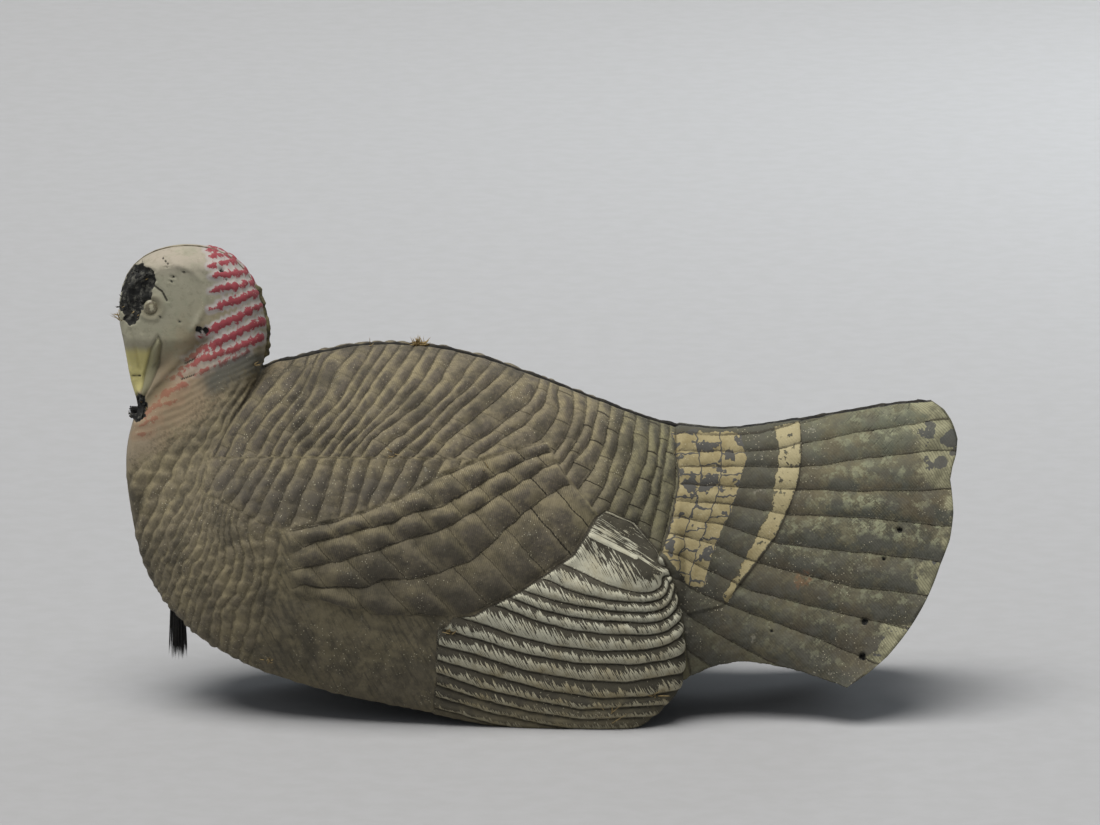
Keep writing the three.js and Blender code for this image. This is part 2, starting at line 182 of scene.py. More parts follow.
def even_parameters():
    """Section and down fractions that space the skin's vertices evenly along its surface."""
    dense = np.linspace(0.06, LAST, 4000)
    steps = 0
    for level in (0.12, 0.3, 0.6, 0.85):
        line = points(dense, np.full_like(dense, level))
        steps = steps + np.linalg.norm(np.diff(line, axis=0), axis=1)
    along = np.concatenate([[0], np.cumsum(steps)])
    u = np.interp(np.linspace(0, along[-1], ALONG), along, dense)
    fine = (1 - np.cos(np.linspace(0, math.pi, 500))) / 2
    rows = []
    for value in u:
        line = points(np.full_like(fine, value), fine)
        down = np.concatenate([[0], np.cumsum(np.linalg.norm(np.diff(line, axis=0), axis=1))])
        rows.append(np.interp(np.linspace(0, down[-1], DOWN), down, fine))
    return u, np.array(rows)


# ---- noise and fields on the drawing plane ----
# Feathers and paint are laid out on a side view seen from 12 degrees above: x, and q = z - TILT * |y|.
TILT = math.tan(math.radians(12))
GOLDEN = 0.618
LATTICE = 64  # cells after which the noise repeats
SPLINE_UNIT = 100  # keeps the spline's distances near 1
NODE_STEP = 14  # spacing of the spline's nodes along a guide line
CHUNK = 8000  # places worked out at a time, to save memory


def noise(x, q, size, seed, octaves=2):
    """Smooth value noise from 0 to 1 with features of the given size."""
    total, weight, norm = 0.0, 1.0, 0.0
    for octave in range(octaves):
        lattice = np.random.default_rng(seed + 31 * octave).random((LATTICE, LATTICE))
        a, b = x / size, q / size
        i, j = np.floor(a).astype(int), np.floor(b).astype(int)
        s, t = a - i, b - j
        s, t = s * s * (3 - 2 * s), t * t * (3 - 2 * t)
        low, high = (lattice[i % LATTICE, (j + n) % LATTICE] * (1 - s)
                     + lattice[(i + 1) % LATTICE, (j + n) % LATTICE] * s for n in (0, 1))
        total = total + weight * (low * (1 - t) + high * t)
        norm += weight
        weight, size = weight * 0.5, size * 0.5
    return total / norm


def inside(outline, x, q):
    """Signed distance to a closed outline, positive inside it."""
    distance = np.full(x.shape, 1e9)
    within = np.zeros(x.shape, bool)
    for (ax, aq), (bx, bq) in zip(outline, outline[1:] + outline[:1]):
        distance = np.minimum(distance, to_segment(x, q, (ax, aq), (bx, bq))[0])
        if aq != bq:
            crosses = (aq > q) != (bq > q)
            within ^= crosses & (x < ax + (q - aq) * (bx - ax) / (bq - aq))
    return np.where(within, distance, -distance)


def guide_field(guides, x, q):
    """A smooth field through guide lines of known value, and its gradient: a thin-plate spline."""
    nodes, values = [], []
    for value, line in guides:
        for (ax, aq), (bx, bq) in zip(line, line[1:]):
            count = max(1, round(math.hypot(bx - ax, bq - aq) / NODE_STEP))
            for k in range(count):
                nodes.append((ax + (bx - ax) * k / count, aq + (bq - aq) * k / count))
                values.append(value)
        nodes.append(line[-1])
        values.append(value)
    nodes = np.array(nodes, float) / SPLINE_UNIT
    n = len(nodes)
    gap = nodes[:, None] - nodes[None]
    r2 = (gap**2).sum(-1) + 1e-12
    system = np.zeros((n + 3, n + 3))
    system[:n, :n] = 0.5 * r2 * np.log(r2) + 1e-4 * np.eye(n)
    system[:n, n:] = np.column_stack([np.ones(n), nodes])
    system[n:, :n] = system[:n, n:].T
    weights = np.linalg.solve(system, np.concatenate([values, np.zeros(3)]))
    value, slope = np.empty(x.size), np.empty((x.size, 2))
    places = np.column_stack([x.ravel(), q.ravel()]) / SPLINE_UNIT
    for start in range(0, x.size, CHUNK):
        part = places[start : start + CHUNK]
        gap = part[:, None] - nodes[None]
        r2 = (gap**2).sum(-1) + 1e-12
        log = np.log(r2)
        bend = (0.5 * r2 * log) @ weights[:n]
        value[start : start + CHUNK] = bend + weights[n] + part @ weights[n + 1 :]
        pull = (log + 1) * weights[:n]
        slope[start : start + CHUNK] = (pull[..., None] * gap).sum(1) + weights[n + 1 :]
    return value.reshape(x.shape), np.linalg.norm(slope, axis=1).reshape(x.shape) / SPLINE_UNIT


# ---- the moulded feathers ----
class Feathers:
    """One region of the moulding: its outline and the grooves between its rows of feathers.

    guides: (row number, groove line). height: how far the rows stand up. crack: length of one feather
    along its row, and across: the direction of that length. pillow: how much each feather bulges on its
    own. barb: direction and spacing of the fine barbs. fade: width over which its edge blends in.
    wobble: how uneven the rows run. ink: how strongly their marks show, and how dark the painted shade in
    their grooves is.
    """

    def __init__(self, outline, guides, height, crack, across, barb, pillow=0.3, fade=3.0, wobble=1.0,
                 marks_and_shade=0.9):
        self.outline, self.guides, self.height, self.marks_and_shade = outline, guides, height, marks_and_shade
        self.crack, self.across, self.barb = crack, across, barb
        self.pillow, self.fade, self.wobble = pillow, fade, wobble


MANTLE = Feathers(
    outline=[(-290, 216), (-246, 299), (-212, 332), (-1, 345), (115, 290), (121, 196), (115, 165), (106, 134),
             (100, 126), (87, 138), (57, 169),
             (50, 164), (17, 206), (4, 231), (-54, 215), (-89, 216), (-212, 217)],
    guides=[
        (-2, [(-265, 275), (-280, 250), (-292, 222)]),
        (0, [(-225, 294), (-240, 275), (-255, 254), (-268, 235), (-275, 220)]),
        (1, [(-207, 296), (-222, 274), (-238, 257), (-254, 234), (-260, 220)]),
        (3, [(-191, 301), (-200, 276), (-216, 254), (-226, 240), (-236, 220)]),
        (5, [(-153, 307), (-162, 293), (-175, 270), (-195, 249), (-215, 226)]),
        (7, [(-130, 308), (-147, 285), (-159, 265), (-176, 243), (-189, 226)]),
        (9, [(-103, 310), (-119, 285), (-136, 262), (-157, 240), (-171, 226)]),
        (11, [(-77, 307), (-92, 283), (-109, 263), (-127, 249), (-148, 233)]),
        (12, [(-62, 301), (-81, 274), (-104, 252), (-122, 237), (-136, 226)]),
        (13, [(-50, 296), (-64, 280), (-84, 260), (-104, 240), (-120, 226)]),
        (14, [(-36, 292), (-52, 278), (-76, 255), (-98, 232), (-108, 222)]),
        (15, [(-20, 287), (-38, 270), (-62, 250), (-82, 232), (-94, 219)]),
        (16, [(-2, 283), (-12, 266), (-36, 246), (-60, 230), (-76, 216)]),
        (17, [(6, 280), (2, 266), (-14, 248), (-36, 233), (-54, 219)]),
        (18, [(14, 277), (15, 262), (8, 246), (-6, 231), (-26, 214)]),
        (19, [(28, 266), (26, 249), (18, 230), (4, 212), (-8, 200)]),
        (20, [(38, 259), (36, 244), (27, 226), (14, 208)]),
        (21, [(47, 254), (41, 231), (30, 216), (19, 196)]),
        (22, [(59, 254), (55, 232), (46, 208), (32, 188)]),
        (23, [(70, 250), (63, 216), (54, 190), (43, 172)]),
        (24, [(81, 244), (79, 221), (71, 198), (62, 178)]),
        (25, [(94, 240), (92, 216), (83, 192), (76, 172)]),
        (26, [(104, 238), (101, 210), (95, 188), (86, 162)]),
        (27, [(112, 237), (106, 205), (101, 174), (94, 146)]),
        (28, [(119, 236), (117, 189), (110, 160), (103, 130)]),
    ],
    height=3.2, crack=25, across=(-0.42, -0.91), barb=(0.9, 0.42, 1.7), pillow=0.5, fade=1.5,
    wobble=0.7)
MID = Feathers(
    outline=[(-290, 216), (-212, 217), (-89, 216), (-55, 215), (-84, 203), (-120, 182), (-151, 170),
             (-186, 160), (-224, 152), (-246, 160), (-265, 171), (-284, 181), (-295, 185)],
    guides=[
        (0, [(-276, 213), (-282, 203), (-290, 190)]),
        (2, [(-246, 214), (-254, 203), (-270, 178)]),
        (4, [(-224, 216), (-230, 203), (-246, 170)]),
        (6, [(-195, 216), (-200, 203), (-214, 170)]),
        (8, [(-164, 216), (-168, 203), (-176, 168)]),
        (10, [(-134, 216), (-138, 203), (-150, 178)]),
        (12, [(-102, 214), (-106, 203), (-116, 184)]),
        (13, [(-86, 213), (-92, 200)]),
    ],
    height=3.0, crack=24, across=(-0.2, -0.98), barb=(0.9, 0.42, 1.7), pillow=0.4, fade=1.5, marks_and_shade=0.7)
WING = Feathers(
    outline=[(-226, 153), (-186, 160), (-151, 170), (-120, 182), (-84, 203), (-54, 215), (4, 231), (18, 204),
             (50, 164), (27, 129), (7, 115), (-18, 98), (-64, 76), (-94, 75), (-142, 76), (-186, 88),
             (-216, 96), (-223, 116)],
    guides=[
        (0, [(-224, 152), (-186, 160), (-151, 170), (-120, 182), (-84, 203), (-54, 214), (-19, 229),
             (4, 233)]),
        (1, [(-218, 133), (-196, 144), (-155, 153), (-131, 159), (-110, 168), (-86, 174), (-70, 182),
             (-45, 198), (-18, 212), (7, 223)]),
        (2, [(-211, 119), (-177, 126), (-140, 136), (-115, 146), (-99, 149), (-81, 156), (-60, 168),
             (-35, 184), (-12, 197), (13, 212)]),
        (3, [(-208, 103), (-155, 102), (-140, 108), (-108, 111), (-91, 115), (-60, 126), (-43, 141),
             (-17, 165), (4, 182), (24, 194)]),
        (4, [(-142, 76), (-94, 76), (-64, 76), (-18, 98), (7, 115), (27, 129), (49, 164)]),
    ],
    height=4.6, crack=28, across=(0.76, 0.65), barb=(0.97, 0.25, 1.6), pillow=0.8, fade=2.0,
    wobble=1.2, marks_and_shade=1.0)
BREAST = Feathers(
    outline=[(-420, 300), (-240, 300), (-290, 216), (-295, 185), (-265, 171), (-226, 153), (-223, 116),
             (-246, 44), (-225, -20), (-420, -20)],
    guides=[
        (-3.5, [(-362, 160), (-353, 196), (-331, 232), (-300, 264)]),
        (0, [(-352, 112), (-332, 146), (-314, 182), (-301, 203)]),
        (3.2, [(-328, 102), (-304, 146), (-293, 180)]),
        (6, [(-306, 92), (-287, 140), (-281, 177)]),
        (9, [(-285, 80), (-269, 120), (-269, 166)]),
        (11, [(-269, 71), (-253, 112), (-253, 162)]),
        (12.5, [(-253, 66), (-242, 108), (-234, 146)]),
        (17, [(-221, 8), (-212, 44), (-203, 88)]),
    ],
    height=2.7, crack=15, across=(0.4, 0.92), barb=(0.9, -0.42, 1.9), pillow=0.75, wobble=2.6, marks_and_shade=0.45)
LOWER = Feathers(
    outline=[(-223, 116), (-216, 96), (-186, 88), (-142, 76), (-92, 75), (-92, -60), (-159, -60), (-225, -30),
             (-246, 44), (-230, 80)],
    guides=[
        (0, [(-212, 98), (-216, 52), (-221, 8)]),
        (2, [(-172, 98), (-181, 44), (-186, -2)]),
        (4, [(-133, 76), (-138, 34), (-142, -6)]),
        (6, [(-94, 76), (-94, 44), (-96, -2)]),
    ],
    height=1.3, crack=22, across=(0.5, 0.87), barb=(0.95, 0.3, 1.8), pillow=0.9, fade=12.0,
    wobble=5.0, marks_and_shade=0.12)
WHITE = Feathers(
    outline=[(57, 170), (82, 159), (102, 134), (114, 111), (122, 78), (126, 39), (121, -2), (100, -60),
             (17, -70), (-97, -60), (-91, 34), (-89, 62), (-78, 74), (-58, 77), (-18, 98), (7, 115),
             (27, 129), (49, 164)],
    guides=[
        (-2.6, [(55, 168), (78, 159), (96, 140), (108, 120)]),
        (0, [(26, 119), (39, 113), (55, 105), (71, 100), (87, 96.5), (99, 98), (105, 104), (107, 111)]),
        (1, [(9, 107), (23, 100), (39, 95), (55, 91), (71, 89), (87, 88), (101, 90), (109, 97), (111, 104)]),
        (2, [(-10, 97), (12, 90), (35, 85), (66, 80), (90, 79), (105, 82), (113, 90), (115, 97)]),
        (3, [(-25, 92), (0, 82), (25, 76), (51, 72), (90, 70), (107, 73), (117, 82), (119, 89)]),
        (4, [(-34, 84), (-4, 72), (27, 64), (60, 60), (92, 59), (110, 63), (121, 73)]),
        (5, [(-61, 72), (-28, 60), (11, 50), (51, 45), (90, 46), (110, 51), (123, 60)]),
        (6, [(-78, 62), (-55, 55), (-12, 42), (35, 34), (82, 33), (110, 37), (124, 43)]),
        (7, [(-89, 50), (-59, 42), (-12, 27), (35, 19), (74, 17), (124, 25)]),
        (8, [(-89, 36), (-44, 23), (4, 10), (51, 3), (90, 4), (124, 11)]),
        (9, [(-94, 26), (-52, 11), (-4, 0), (35, -7), (114, -3)]),
        (10, [(-94, 15), (-59, 3), (-12, -9), (35, -16), (87, -14)]),
        (11, [(-97, 5), (-44, -11), (4, -21)]),
    ],
    height=3.8, crack=1e6, across=(1, 0), barb=(0.86, 0.5, 1.7), pillow=0, fade=1.2, wobble=0.2, marks_and_shade=1.0)
TAIL = Feathers(
    outline=[(115, 290), (369, 310), (420, 178), (340, -60), (140, -30), (128, 39), (124, 78), (115, 111),
             (102, 126), (106, 134), (115, 165), (121, 196)],
    guides=[
        (-1, [(131, 222), (179, 222), (206, 224), (249, 233), (278, 240), (345, 251)]),
        (0, [(131, 209), (179, 209), (224, 208), (247, 210), (278, 216), (345, 224)]),
        (1, [(131, 193), (173, 191), (221, 188), (278, 187), (343, 188)]),
        (2, [(129, 178), (169, 175), (202, 169), (221, 166), (278, 163), (348, 157)]),
        (3, [(126, 163), (162, 156), (192, 146), (208, 140), (259, 134), (348, 125)]),
        (4, [(122, 147), (154, 138), (182, 125), (221, 115), (278, 101), (339, 94)]),
        (5, [(119, 129), (148, 115), (182, 99), (221, 89), (278, 74), (320, 65)]),
        (6, [(115, 111), (140, 96), (179, 80), (240, 56), (293, 34)]),
        (7, [(119, 88), (131, 75), (175, 48), (228, 21)]),
    ],
    height=2.4, crack=1e6, across=(1, 0), barb=(0.75, 0.66, 2.4), pillow=0, fade=1.5, wobble=0.7)
REGIONS = [BREAST, LOWER, TAIL, MANTLE, MID, WING, WHITE]  # later ones lie over earlier ones
SHOULDER = (-228, -196)  # where the wing's rows rise out of the breast
ROW_STEP = 60  # keeps the row numbers of different regions apart
WHITE_START = ROW_STEP * REGIONS.index(WHITE)  # row 0 of the white panel
TOP_FEATHER = 2.6  # the white panel's top feather counts from minus this to row 0

HEAD = [(-420, 470), (-225, 470), (-225, 296), (-246, 294), (-265, 282), (-287, 264), (-313, 240),
        (-335, 219), (-350, 205), (-420, 200)]
CARUNCLES = [  # ends of each fleshy ridge on the neck, and its strength
    ((-294, 403), (-284, 401), 0.5), ((-290, 396), (-275, 398), 0.65), ((-290, 388), (-268, 392), 0.8),
    ((-288, 378), (-258, 383), 1.0), ((-288, 366), (-253, 373), 1.0), ((-290, 349), (-248, 364), 1.0),
    ((-298, 326), (-246, 352), 1.05), ((-312, 305), (-246, 338), 1.05), ((-316, 296), (-246, 323), 1.0),
    ((-304, 290), (-256, 311), 0.6), ((-328, 287), (-312, 293), 0.7), ((-337, 270), (-312, 282), 0.8),
    ((-338, 262), (-318, 268), 0.6), ((-350, 253), (-334, 266), 0.7), ((-352, 245), (-336, 252), 0.6),
    ((-356, 236), (-342, 240), 0.4),
]
CARUNCLE_HALF = 3.1
BEAD_STEP = 6.5  # length of one bead along a ridge
TORN = [(-349, 393), (-340, 380), (-336, 370), (-350, 349), (-356, 338), (-366, 340), (-370, 351),
        (-368, 368), (-358, 386)]
JAW = [(-335, 325), (-332, 318), (-335, 302), (-342, 284), (-349, 269), (-352, 272), (-348, 292),
       (-342, 313)]
FACE_MASK = [(-318, 389), (-304, 383), (-296, 374), (-293, 362), (-294, 350), (-303, 333)]
BILL_EDGE = ((-332, 330), (-351, 268))
WORN_REAR = [  # q and how far the tail's rear edge has worn away there
    (0, 8), (12, 8), (24, 4), (39, 2), (66, 3), (93, 4), (120, 5), (143, 3.5), (167, 6), (182, 9),
    (197, 11.5), (208, 9), (220, 4), (233, 0), (250, 1), (260, 3), (268, 9), (280, 10),
]
TIP_CHIPS = [(360, 234, 8), (356, 211, 6), (366, 222, 4)]
CUTS = [  # thin splits in the skin of the head
    [(-361, 290), (-352, 290)],
    [(-312, 301), (-302, 306)],
    [(-315, 287), (-303, 291)],
    [(-339, 371), (-331, 365), (-327, 357)],
    [(-331, 396), (-326, 390)],
]
STRAWS = [  # x, q, count, longest: bits of dry straw caught on the left side
    (-374, 342, 12, 15), (-106, 330, 90, 11), (-130, 219, 4, 12), (-50, 205, 3, 12), (-78, 63, 7, 9),
    (-238, 35, 7, 10), (-250, 300, 3, 7), (60, -14, 4, 22), (96, 4, 4, 14), (-150, 318, 3, 9),
]
BROKEN_TIP = [(-358, 274), (-348, 271), (-347, 254), (-356, 248)]
# dark grey patch at the base of the nape: grey paint, with painted shade in the notch where the neck meets
# the back
NAPE_PATCH = ((-284, 284), (-252, 302))
PITS = [  # x, q, radius, depth
    (-321, 378, 1.8, 3), (-323, 374, 1.4, 2), (-312, 382, 1.3, 2), (-327, 387, 1.2, 2), (-279, 384, 2.6, 4),
    (-275, 376, 1.6, 3), (-333, 342, 1.1, 2), (-316, 338, 1.1, 2), (-299, 331, 3.4, 3), (-293, 330, 3.2, 3),
    (314, 152, 2.6, 4), (300, 126, 1.8, 4), (283, 70, 3.0, 4), (281, 39, 3.2, 4), (202, 61, 1.6, 2),
]
CREAM_WIDE = [(115, 239), (177, 239), (180, 213), (172, 185), (162, 160), (150, 131), (142, 101), (131, 101),
              (115, 118), (106, 134), (115, 165), (121, 196)]
CREAM_NARROW = [(205, 244), (227, 246), (228, 222), (225, 195), (216, 170), (205, 146), (187, 121),
                (169, 98), (162, 88), (159, 94), (179, 125), (190, 150), (202, 170), (205, 195), (209, 222)]
COVERTS = [(60, 300), (227, 262), (229, 222), (226, 195), (217, 170), (206, 146), (188, 121), (170, 98),
           (158, 84), (60, 60)]
BRICK_COLUMNS = [
    (0, [(115, 239), (121, 196), (115, 165), (106, 134), (104, 110)]),
    (3, [(177, 239), (180, 213), (172, 185), (162, 160), (150, 131), (142, 101)]),
]
BRICK_HEIGHT = 19.0
HEAD_LINES = [  # line, half width and rise of each fold of the face
    (FACE_MASK, 2.8, 1.3),
    ([(-360, 331), (-354, 312), (-352, 296)], 1.6, -1.2),
    ([(-349, 326), (-345, 312)], 1.5, 0.8),
    ([(-366, 325), (-362, 300)], 1.4, -0.8),
]
CREASE_SHADES = [  # lines and radii of the painted shade along the creases low on the side
    ([(-214, 66), (-206, 56), (-198, 40)], 2.5),
    ([(-226, 88), (-218, 74)], 1.5),
    ([(-150, 66), (-120, 60)], 2.0),
    ([(-92, 74), (-60, 70)], 1.0),
]
FIBRES = 110  # frayed threads of foam at the torn places
BRISTLES = 110
BEARD_ROOT, BEARD_TIP = (5.2, 2.8, 0), (8.6, 3.6, 0)  # half widths of the tuft at its ends
FLASH_STEPS = 26  # rings of the glue lines per section
FAR = 99.0  # a distance out of reach of every edge
HEAD_END = 11.5  # the section behind which the relief runs right up to the seam
WHITE_SPINE = ((42, 147), (82, 126))  # the pale shaft of the top wing feather


def feather_offset(row):
    """Where the first feather of a row begins: rows are out of step with each other."""
    return np.mod(row * GOLDEN, 1.0)


def ridge(f):
    """Cross profile of one row: rising from under the last one and rounding over at its free edge."""
    return np.sin(np.pi * np.clip(f, 0, 1) ** 1.2) ** 0.65


def lay_feathers(x, q):
    """Height of the feather relief and the fields that its paint follows."""
    made = {k: np.zeros(x.shape) for k in ("height", "phase", "pitch", "along", "amount", "barb", "pillow")}
    coarse_x, coarse_q = noise(x, q, 26, 3) - 0.5, noise(x, q, 26, 5) - 0.5
    fine_x, fine_q = noise(x, q, 8, 4) - 0.5, noise(x, q, 8, 6) - 0.5
    for number, region in enumerate(REGIONS):
        reach = inside(region.outline, x, q)
        near = reach > -region.fade
        nx = (x + region.wobble * (3.0 * coarse_x + 1.6 * fine_x))[near]
        nq = (q + region.wobble * (3.0 * coarse_q + 1.6 * fine_q))[near]
        depth = reach[near]
        phase, slope = guide_field(region.guides, nx, nq)
        pitch = 1 / np.maximum(slope, 1e-3)
        if region is WHITE:
            pitch = np.where(phase < 0, pitch * TOP_FEATHER, pitch)
            phase = np.where(phase < 0, phase / TOP_FEATHER, phase)
        row = np.floor(phase)
        f = phase - row
        along = (nx * region.across[0] + nq * region.across[1]) / region.crack
        part = along + feather_offset(row + ROW_STEP * number)
        bulge = np.sin(np.pi * np.mod(part, 1) ** 1.6) ** 0.5
        slim = np.clip(pitch / 9, 0.2, 1)  # crowded rows stay low
        barb = (nx * region.barb[0] + nq * region.barb[1]) / region.barb[2]
        cover = smooth(depth, -region.fade, region.fade)
        here = depth > 0
        meet = smooth(np.abs(depth), 0, region.fade)
        bump = region.height * slim * (ridge(f) * (1 - region.pillow * (1 - bulge)) - 0.35)
        # strength of the painted shade in the grooves and of the other feather marks
        marks_and_shade = region.marks_and_shade * meet
        if region is WING:
            reach_in = smooth(nx, *SHOULDER)
            bump = bump * (0.25 + 0.75 * reach_in)
            marks_and_shade = marks_and_shade * reach_in
        made["height"][near] = made["height"][near] * (1 - cover) + bump * cover
        made["amount"][near] = np.where(here, marks_and_shade, made["amount"][near] * meet)
        values = {"phase": phase + ROW_STEP * number, "pitch": pitch, "along": along, "barb": barb,
                  "pillow": np.full(nx.shape, region.pillow * region.marks_and_shade**2)}
        for key, value in values.items():
            made[key][near] = np.where(here, value, made[key][near])
    return made


def beside(line, x, q):
    """Signed distance from a straight line through two points, positive to the left of its direction."""
    (ax, aq), (bx, bq) = line
    return ((bx - ax) * (q - aq) - (bq - aq) * (x - ax)) / math.hypot(bx - ax, bq - aq)


def strip_gap(line, x, q):
    """Distance to an open line of points."""
    gap = np.full(x.shape, 1e9)
    for a, b in zip(line, line[1:]):
        gap = np.minimum(gap, to_segment(x, q, a, b)[0])
    return gap


def bell(value, width):
    return np.exp(-((value / width) ** 2))


def caruncles(x, q):
    """Signed distance to the beaded ridges of the neck, positive on them."""
    red = np.full(x.shape, -6.0)
    bent_x, bent_q = x + 2.0 * (noise(x, q, 6, 8) - 0.5), q + 3.0 * (noise(x, q, 8, 9) - 0.5)
    waver, lumps = 9 * noise(x, q, 20, 10), 2.2 * (noise(x, q, 4, 11) - 0.5)
    for a, b, strength in CARUNCLES:
        gap, t = to_segment(bent_x, bent_q, a, b)
        length = math.hypot(b[0] - a[0], b[1] - a[1])
        beads = 0.8 * np.cos(2 * np.pi * t * length / BEAD_STEP + waver) + lumps
        reach = (CARUNCLE_HALF + beads) * strength * (0.35 + 0.65 * smooth(t, 0, 0.25))
        red = np.maximum(red, reach - gap)
    return red


def dress_head(made, x, q, head, bare):
    """Ridges, folds, jaw and eye socket of the bare head, and the fields of its paint."""
    height = made["height"]
    red = caruncles(x, q)
    height += (0.7 + 1.1 * smooth(q, 270, 310)) * smooth(red, -2.2, 2.4)
    folds = (x * 0.45 + q * -0.89) / 5.5 + 1.8 * noise(x, q, 24, 12)
    crest = np.abs(np.sin(np.pi * folds))
    neck = smooth(-head, -64, -30) * bare * smooth(x, -352, -325)
    height += 0.7 * neck * crest * (1 - smooth(red, -4, 0))
    jaw = inside(JAW, x, q)
    height += 2.2 * smooth(jaw, -0.5, 4.0) - 1.6 * bell(jaw, 1.4)
    for line, width, rise in HEAD_LINES:
        height += rise * bell(strip_gap(line, x, q), width)
    socket = np.hypot(x - EYE[0], q - (EYE[1] - TILT * 28))
    height += 1.2 * bell(socket - 10.5, 2.4) - 1.2 * smooth(8.5 - socket, 0, 3)
    # grey paint at the base of the nape, and painted shade in the notch where the neck meets the back
    stain = 14 - to_segment(x, q, *NAPE_PATCH)[0] + 8 * (noise(x, q, 7, 66, 3) - 0.5)
    bill = in_bill(x, q + TILT * 12) * smooth(-beside(BILL_EDGE, x, q), -1.5, 1.5)
    made.update(red=red, fold=neck * (1 - crest), jaw=jaw, socket=socket, stain=stain, bill=bill,
                valley=to_segment(x, q + TILT * 30, *VALLEY)[0])


def damage(made, x, q, torn_side):
    """Torn foam, pits, thin cuts and bare chips on the torn side, each a signed distance."""
    height = made["height"]
    torn, cuts, chips = (np.full(x.shape, level) for level in (-9.0, -9.0, -20.0))
    if torn_side:
        torn = np.maximum(inside(TORN, x, q), inside(BROKEN_TIP, x, q)) + 11.0 * (noise(x, q, 8, 40, 3) - 0.5)
        height -= 3.5 * smooth(torn, -0.5, 3.5) + 13.0 * smooth(torn, 0, 4) * (noise(x, q, 10, 44, 3) - 0.45)
        crumbs = 1.8 * (noise(x, q, 3, 50) - 0.5)
        for px, pq, radius, depth in PITS:
            gap = np.hypot(x - px, q - pq) + crumbs
            height -= depth * smooth(radius - gap, -0.4, 1.4)
            torn = np.maximum(torn, radius - gap - 0.2)
        for line in CUTS:
            cuts = np.maximum(cuts, 0.9 - strip_gap(line, x, q))
        for cx, cq, radius in TIP_CHIPS:
            chips = np.maximum(chips, radius - np.hypot(x - cx, q - cq))
    height -= 1.2 * smooth(cuts, -0.8, 0.6)
    made.update(torn=torn, cuts=cuts, chips=chips + 8 * (noise(x, q, 7, 68, 3) - 0.5))


def dress_body(made, x, q, bare):
    """Steps and grooves where the regions of the body and tail meet, and the fields of their paint."""
    height = made["height"]
    white, wing, tail, mid = (inside(region.outline, x, q) for region in (WHITE, WING, TAIL, MID))
    white = white + 7 * (noise(x, q, 10, 67, 3) - 0.5) * (1 - smooth(x, -80, -30))
    shaft = 1.7 - to_segment(x, q, *WHITE_SPINE)[0]
    covert_end = inside(COVERTS, x, q)
    height += 3.5 * smooth(wing, -5, 9) * (1 - smooth(x, -120, -20))
    height += 1.0 * smooth(shaft, -1.2, 0.8)
    height += 2.2 * smooth(white, -1.5, 1.5) * smooth(x, -70, 60)
    height -= 1.5 * bell(white, 2.2) * smooth(x, -95, -40)
    height -= 0.8 * bell(tail, 2.0)
    height += 1.6 * smooth(covert_end, -1.0, 1.0) * smooth(tail, 0, 4)
    height += (1 - bare) * (1.6 * (noise(x, q, 34, 60) - 0.5) + 1.1 * (noise(x, q, 7, 61, 3) - 0.5))
    height += 0.4 * bare * (noise(x, q, 12, 62) - 0.5)
    # painted shade along the creases low on the side
    smudge, waver = np.full(x.shape, -20.0), 12 * (noise(x, q, 14, 63, 3) - 0.5)
    for line, radius in CREASE_SHADES:
        smudge = np.maximum(smudge, radius - strip_gap(line, x, q) + waver)
    made.update(white=white, wing=wing, tail=tail, mid=mid, shaft=shaft, covert_end=covert_end, smudge=smudge,
                top=beside(WHITE_SPINE, x, q), band=inside(CREAM_WIDE, x, q),
                narrow=inside(CREAM_NARROW, x, q), column=guide_field(BRICK_COLUMNS, x, q)[0])


def dress(x, q, rear, seam, rim, torn_side):
    """All relief and paint fields for one side; rear, seam and rim are distances to those edges."""
    made = lay_feathers(x, q)
    head = inside(HEAD, x, q)
    wobble = 16 * (noise(x, q, 18, 21) - 0.5)
    bare = smooth(head + wobble, -12, 8)
    near_seam = smooth(seam, 0, 6) * (0.4 + 0.6 * smooth(seam, 6, 30))
    made["height"] *= (1 - bare) * near_seam * (0.4 + 0.6 * smooth(rim, 0, 12))
    made["amount"] *= (1 - bare) * smooth(seam, 0, 5)
    dress_head(made, x, q, head, bare)
    damage(made, x, q, torn_side)
    dress_body(made, x, q, bare)
    made.update(head=head + wobble, rear=rear, seam=seam)
    return made


# ---- meshes ----
def build_mesh(name, verts, faces, fields=None, flat=False):
    mesh = bpy.data.meshes.new(name)
    mesh.from_pydata([], [], [])
    verts = np.asarray(verts, np.float32)
    quads = [np.asarray(f, np.int32) for f in faces if len(f)]
    loops = np.concatenate([f.ravel() for f in quads])
    sizes = np.concatenate([np.full(len(f), f.shape[1], np.int32) for f in quads])
    mesh.vertices.add(len(verts))
    mesh.vertices.foreach_set("co", verts.ravel())
    mesh.loops.add(len(loops))
    mesh.loops.foreach_set("vertex_index", loops)
    mesh.polygons.add(len(sizes))
    mesh.polygons.foreach_set("loop_start", np.concatenate([[0], np.cumsum(sizes)[:-1]]).astype(np.int32))
    mesh.polygons.foreach_set("loop_total", sizes)
    mesh.update(calc_edges=True)
    mesh.validate()
    mesh.polygons.foreach_set("use_smooth", np.full(len(mesh.polygons), not flat))
    for key, values in (fields or {}).items():
        values = np.asarray(values, np.float32)
        kind = "FLOAT" if values.ndim == 1 else "FLOAT_VECTOR"
        slot = mesh.attributes.new(key, kind, "POINT")
        slot.data.foreach_set("value" if kind == "FLOAT" else "vector", values.ravel())
    thing = bpy.data.objects.new(name, mesh)
    bpy.context.scene.collection.objects.link(thing)
    return thing


def grid_faces(rows, columns, start=0, flip=False):
    i, k = np.meshgrid(np.arange(rows - 1), np.arange(columns - 1), indexing="ij")
    a = start + i * columns + k
    quads = np.stack([a, a + columns, a + columns + 1, a + 1], axis=-1).reshape(-1, 4)
    return quads[:, ::-1] if flip else quads


